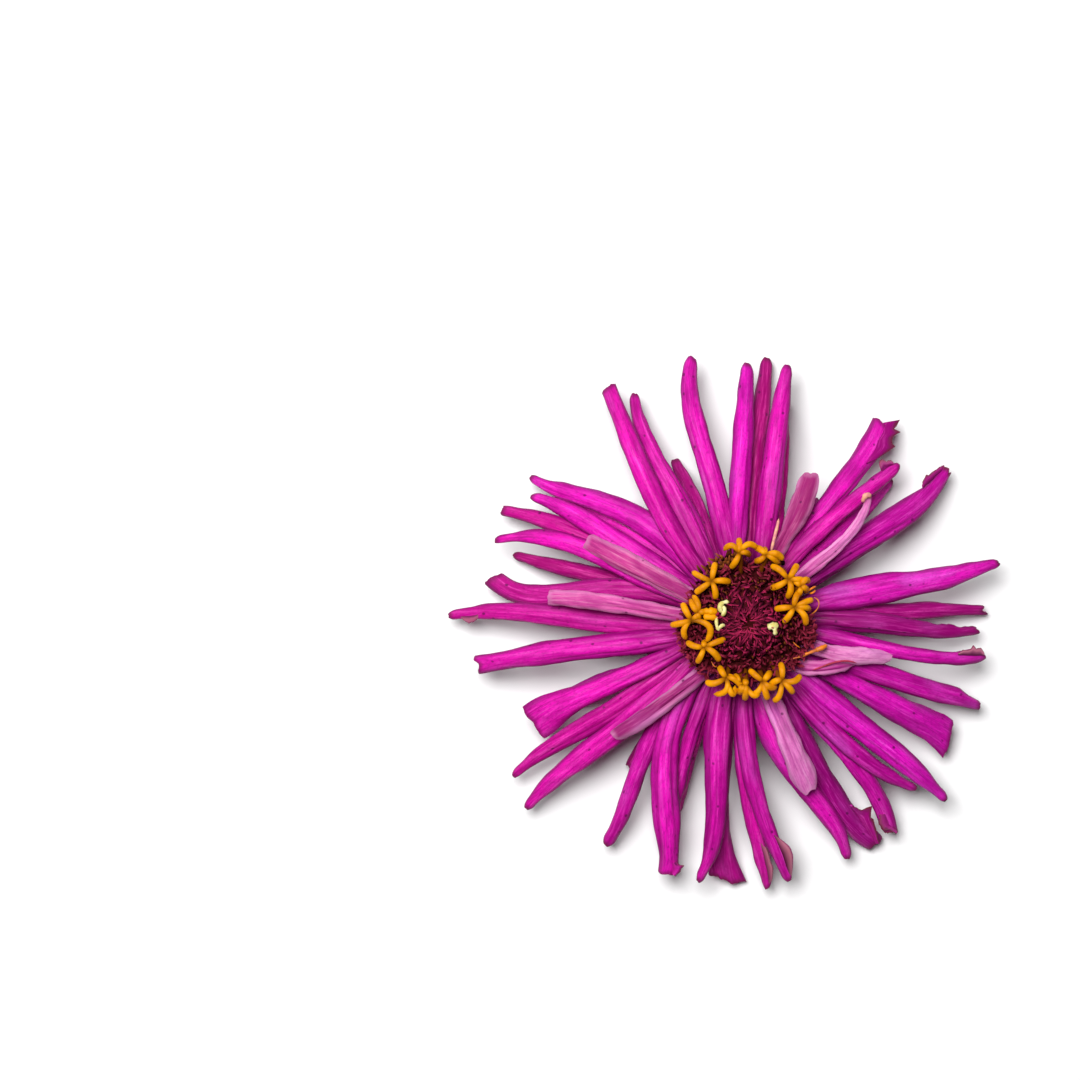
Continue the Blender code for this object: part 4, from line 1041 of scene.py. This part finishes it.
def make_chaff():
    steps = np.linspace(0, 1, 20)
    profile = [(0.0, DISC_FOOT), (DISC_RIM - 1.9, DISC_FOOT), (DISC_RIM - 1.4, DISC_FOOT + 0.2),
               (DISC_RIM - 2.0, DISC_TOP), (DOME_RADIUS, DISC_TOP)]
    profile += [(DOME_RADIUS * (1 - u), dome_height(DOME_RADIUS * (1 - u))) for u in steps[1:]]
    bed = plain_material("dark_chaff_bed", "340A0C", "54141A", 1400.0, 0.8, specular=0.05)
    finished(turned("chaff_dome", profile, 64), bed, "maroon_chaff", "chaff_disc")
    for name, material, colours, rings in CHAFF:
        parts = [bristles(*ring) for ring in rings]
        finished(joined(name, parts), chaff_material(material, *colours), "maroon_chaff")


# ---- green cup
def cup_radius(height):
    share = height / CUP_SHOULDER
    swell = np.sin(np.pi / 2 * np.minimum(share / CUP_BELLY, 1.0))
    return CUP_FOOT + CUP_SWELL * swell - np.maximum(share - CUP_BELLY, 0.0)


def make_bract(base, tip, width, bearing, seed):
    """One bract: hugs the bell at its base, stands off it at its rounded, fringed tip."""
    made, t, s = grid(18, 14)
    draw = random.Random(seed)
    width = width * draw.uniform(0.94, 1.06)
    half = width / 2 * np.sin(np.pi * (0.26 + 0.58 * t)) ** 0.8
    fringe = 0.10 * wavy(draw, s, 17.0, 29.0, 43.0) * smooth(0.8, 1.0, t)
    height = base + (tip - base) * t - 0.28 * (tip - base) * (s ** 2) * smooth(0.55, 1.0, t) + fringe
    radius = cup_radius(height) - 0.15 + 1.0 * t + 0.10 * np.cos(5.0 * s) * t - 0.25 * s ** 2 * t
    set_points(made, polar(radius, bearing + np.degrees(s * half / radius), height))
    edge = np.maximum(np.abs(s), smooth(0.55, 1.0, t) * (0.62 + 0.38 * t))
    note(made, along=t, across=s * half, edge=edge, seed=draw.uniform(0, 40))
    thickened(made, BRACT_THICK, 0.5, s)
    return made


def make_cup():
    profile = [(0.0, 0.35), (1.7, 0.35), (1.8, 0.0), (cup_radius(0.0) - 0.5, 0.0)]
    profile += [(cup_radius(h) - 0.12, h + 0.12 * (h == 0)) for h in np.linspace(0.0, CUP_SHOULDER, 24)]
    profile += [(6.6, CUP_SHOULDER), (6.6, SEAT_TOP - 0.6), (6.0, SEAT_TOP), (0.0, SEAT_TOP)]
    flesh = plain_material("green_cup_flesh", "5F7A34", "87995A", 700.0)
    finished(turned("cup_bell", profile, 64), flesh, "green_bracts", "green_cup")
    parts = [
        make_bract(base, tip, width, first + 360.0 * i / count, 100 * row + i)
        for row, (count, base, tip, width, first) in enumerate(BRACT_ROWS)
        for i in range(count)
    ]
    finished(joined("cup_bracts", parts), bract_material(), "green_bracts", "green_cup")


# ---- floor, light and camera
def add_light(name, place, size, energy):
    """A round soft light that shines at the flower."""
    light = bpy.data.lights.new(name, "AREA")
    light.shape = "DISK"
    light.size = size
    light.energy = energy
    placed = linked(name, light)
    placed.location = place
    placed.rotation_mode = "QUATERNION"
    placed.rotation_quaternion = (-placed.location).to_track_quat("-Z", "Y")


def make_stage():
    bpy.ops.mesh.primitive_plane_add(size=6.0)
    floor = bpy.context.object
    floor.name = "floor"
    floor.data.materials.append(floor_material())

    scene = bpy.context.scene
    scene.world = bpy.data.worlds.new("soft_white_room")
    scene.world.use_nodes = True
    room = scene.world.node_tree.nodes["Background"].inputs
    room["Color"].default_value = (1.0, 1.0, 1.0, 1.0)
    room["Strength"].default_value = ROOM_LIGHT
    add_light("soft_box", (-0.22, 0.28, 1.05), 0.60, 17.0)
    add_light("window_light", (-0.66, 0.52, 0.85), 0.40, 1.8)

    lens = bpy.data.cameras.new("camera")
    lens.sensor_width = SENSOR
    lens.lens = SENSOR * VIEW_HEIGHT / VIEW_WIDTH
    lens.clip_start, lens.clip_end = 0.05, 20.0
    scene.camera = linked("camera", lens)
    scene.camera.location = [side * MM for side in (*VIEW_PLACE, VIEW_HEIGHT + PETAL_PLANE)]
    scene.view_settings.view_transform = "Standard"
    scene.view_settings.look = "None"


make_petals()
make_roots()
make_stars()
make_bits()
make_chaff()
make_cup()
make_stage()
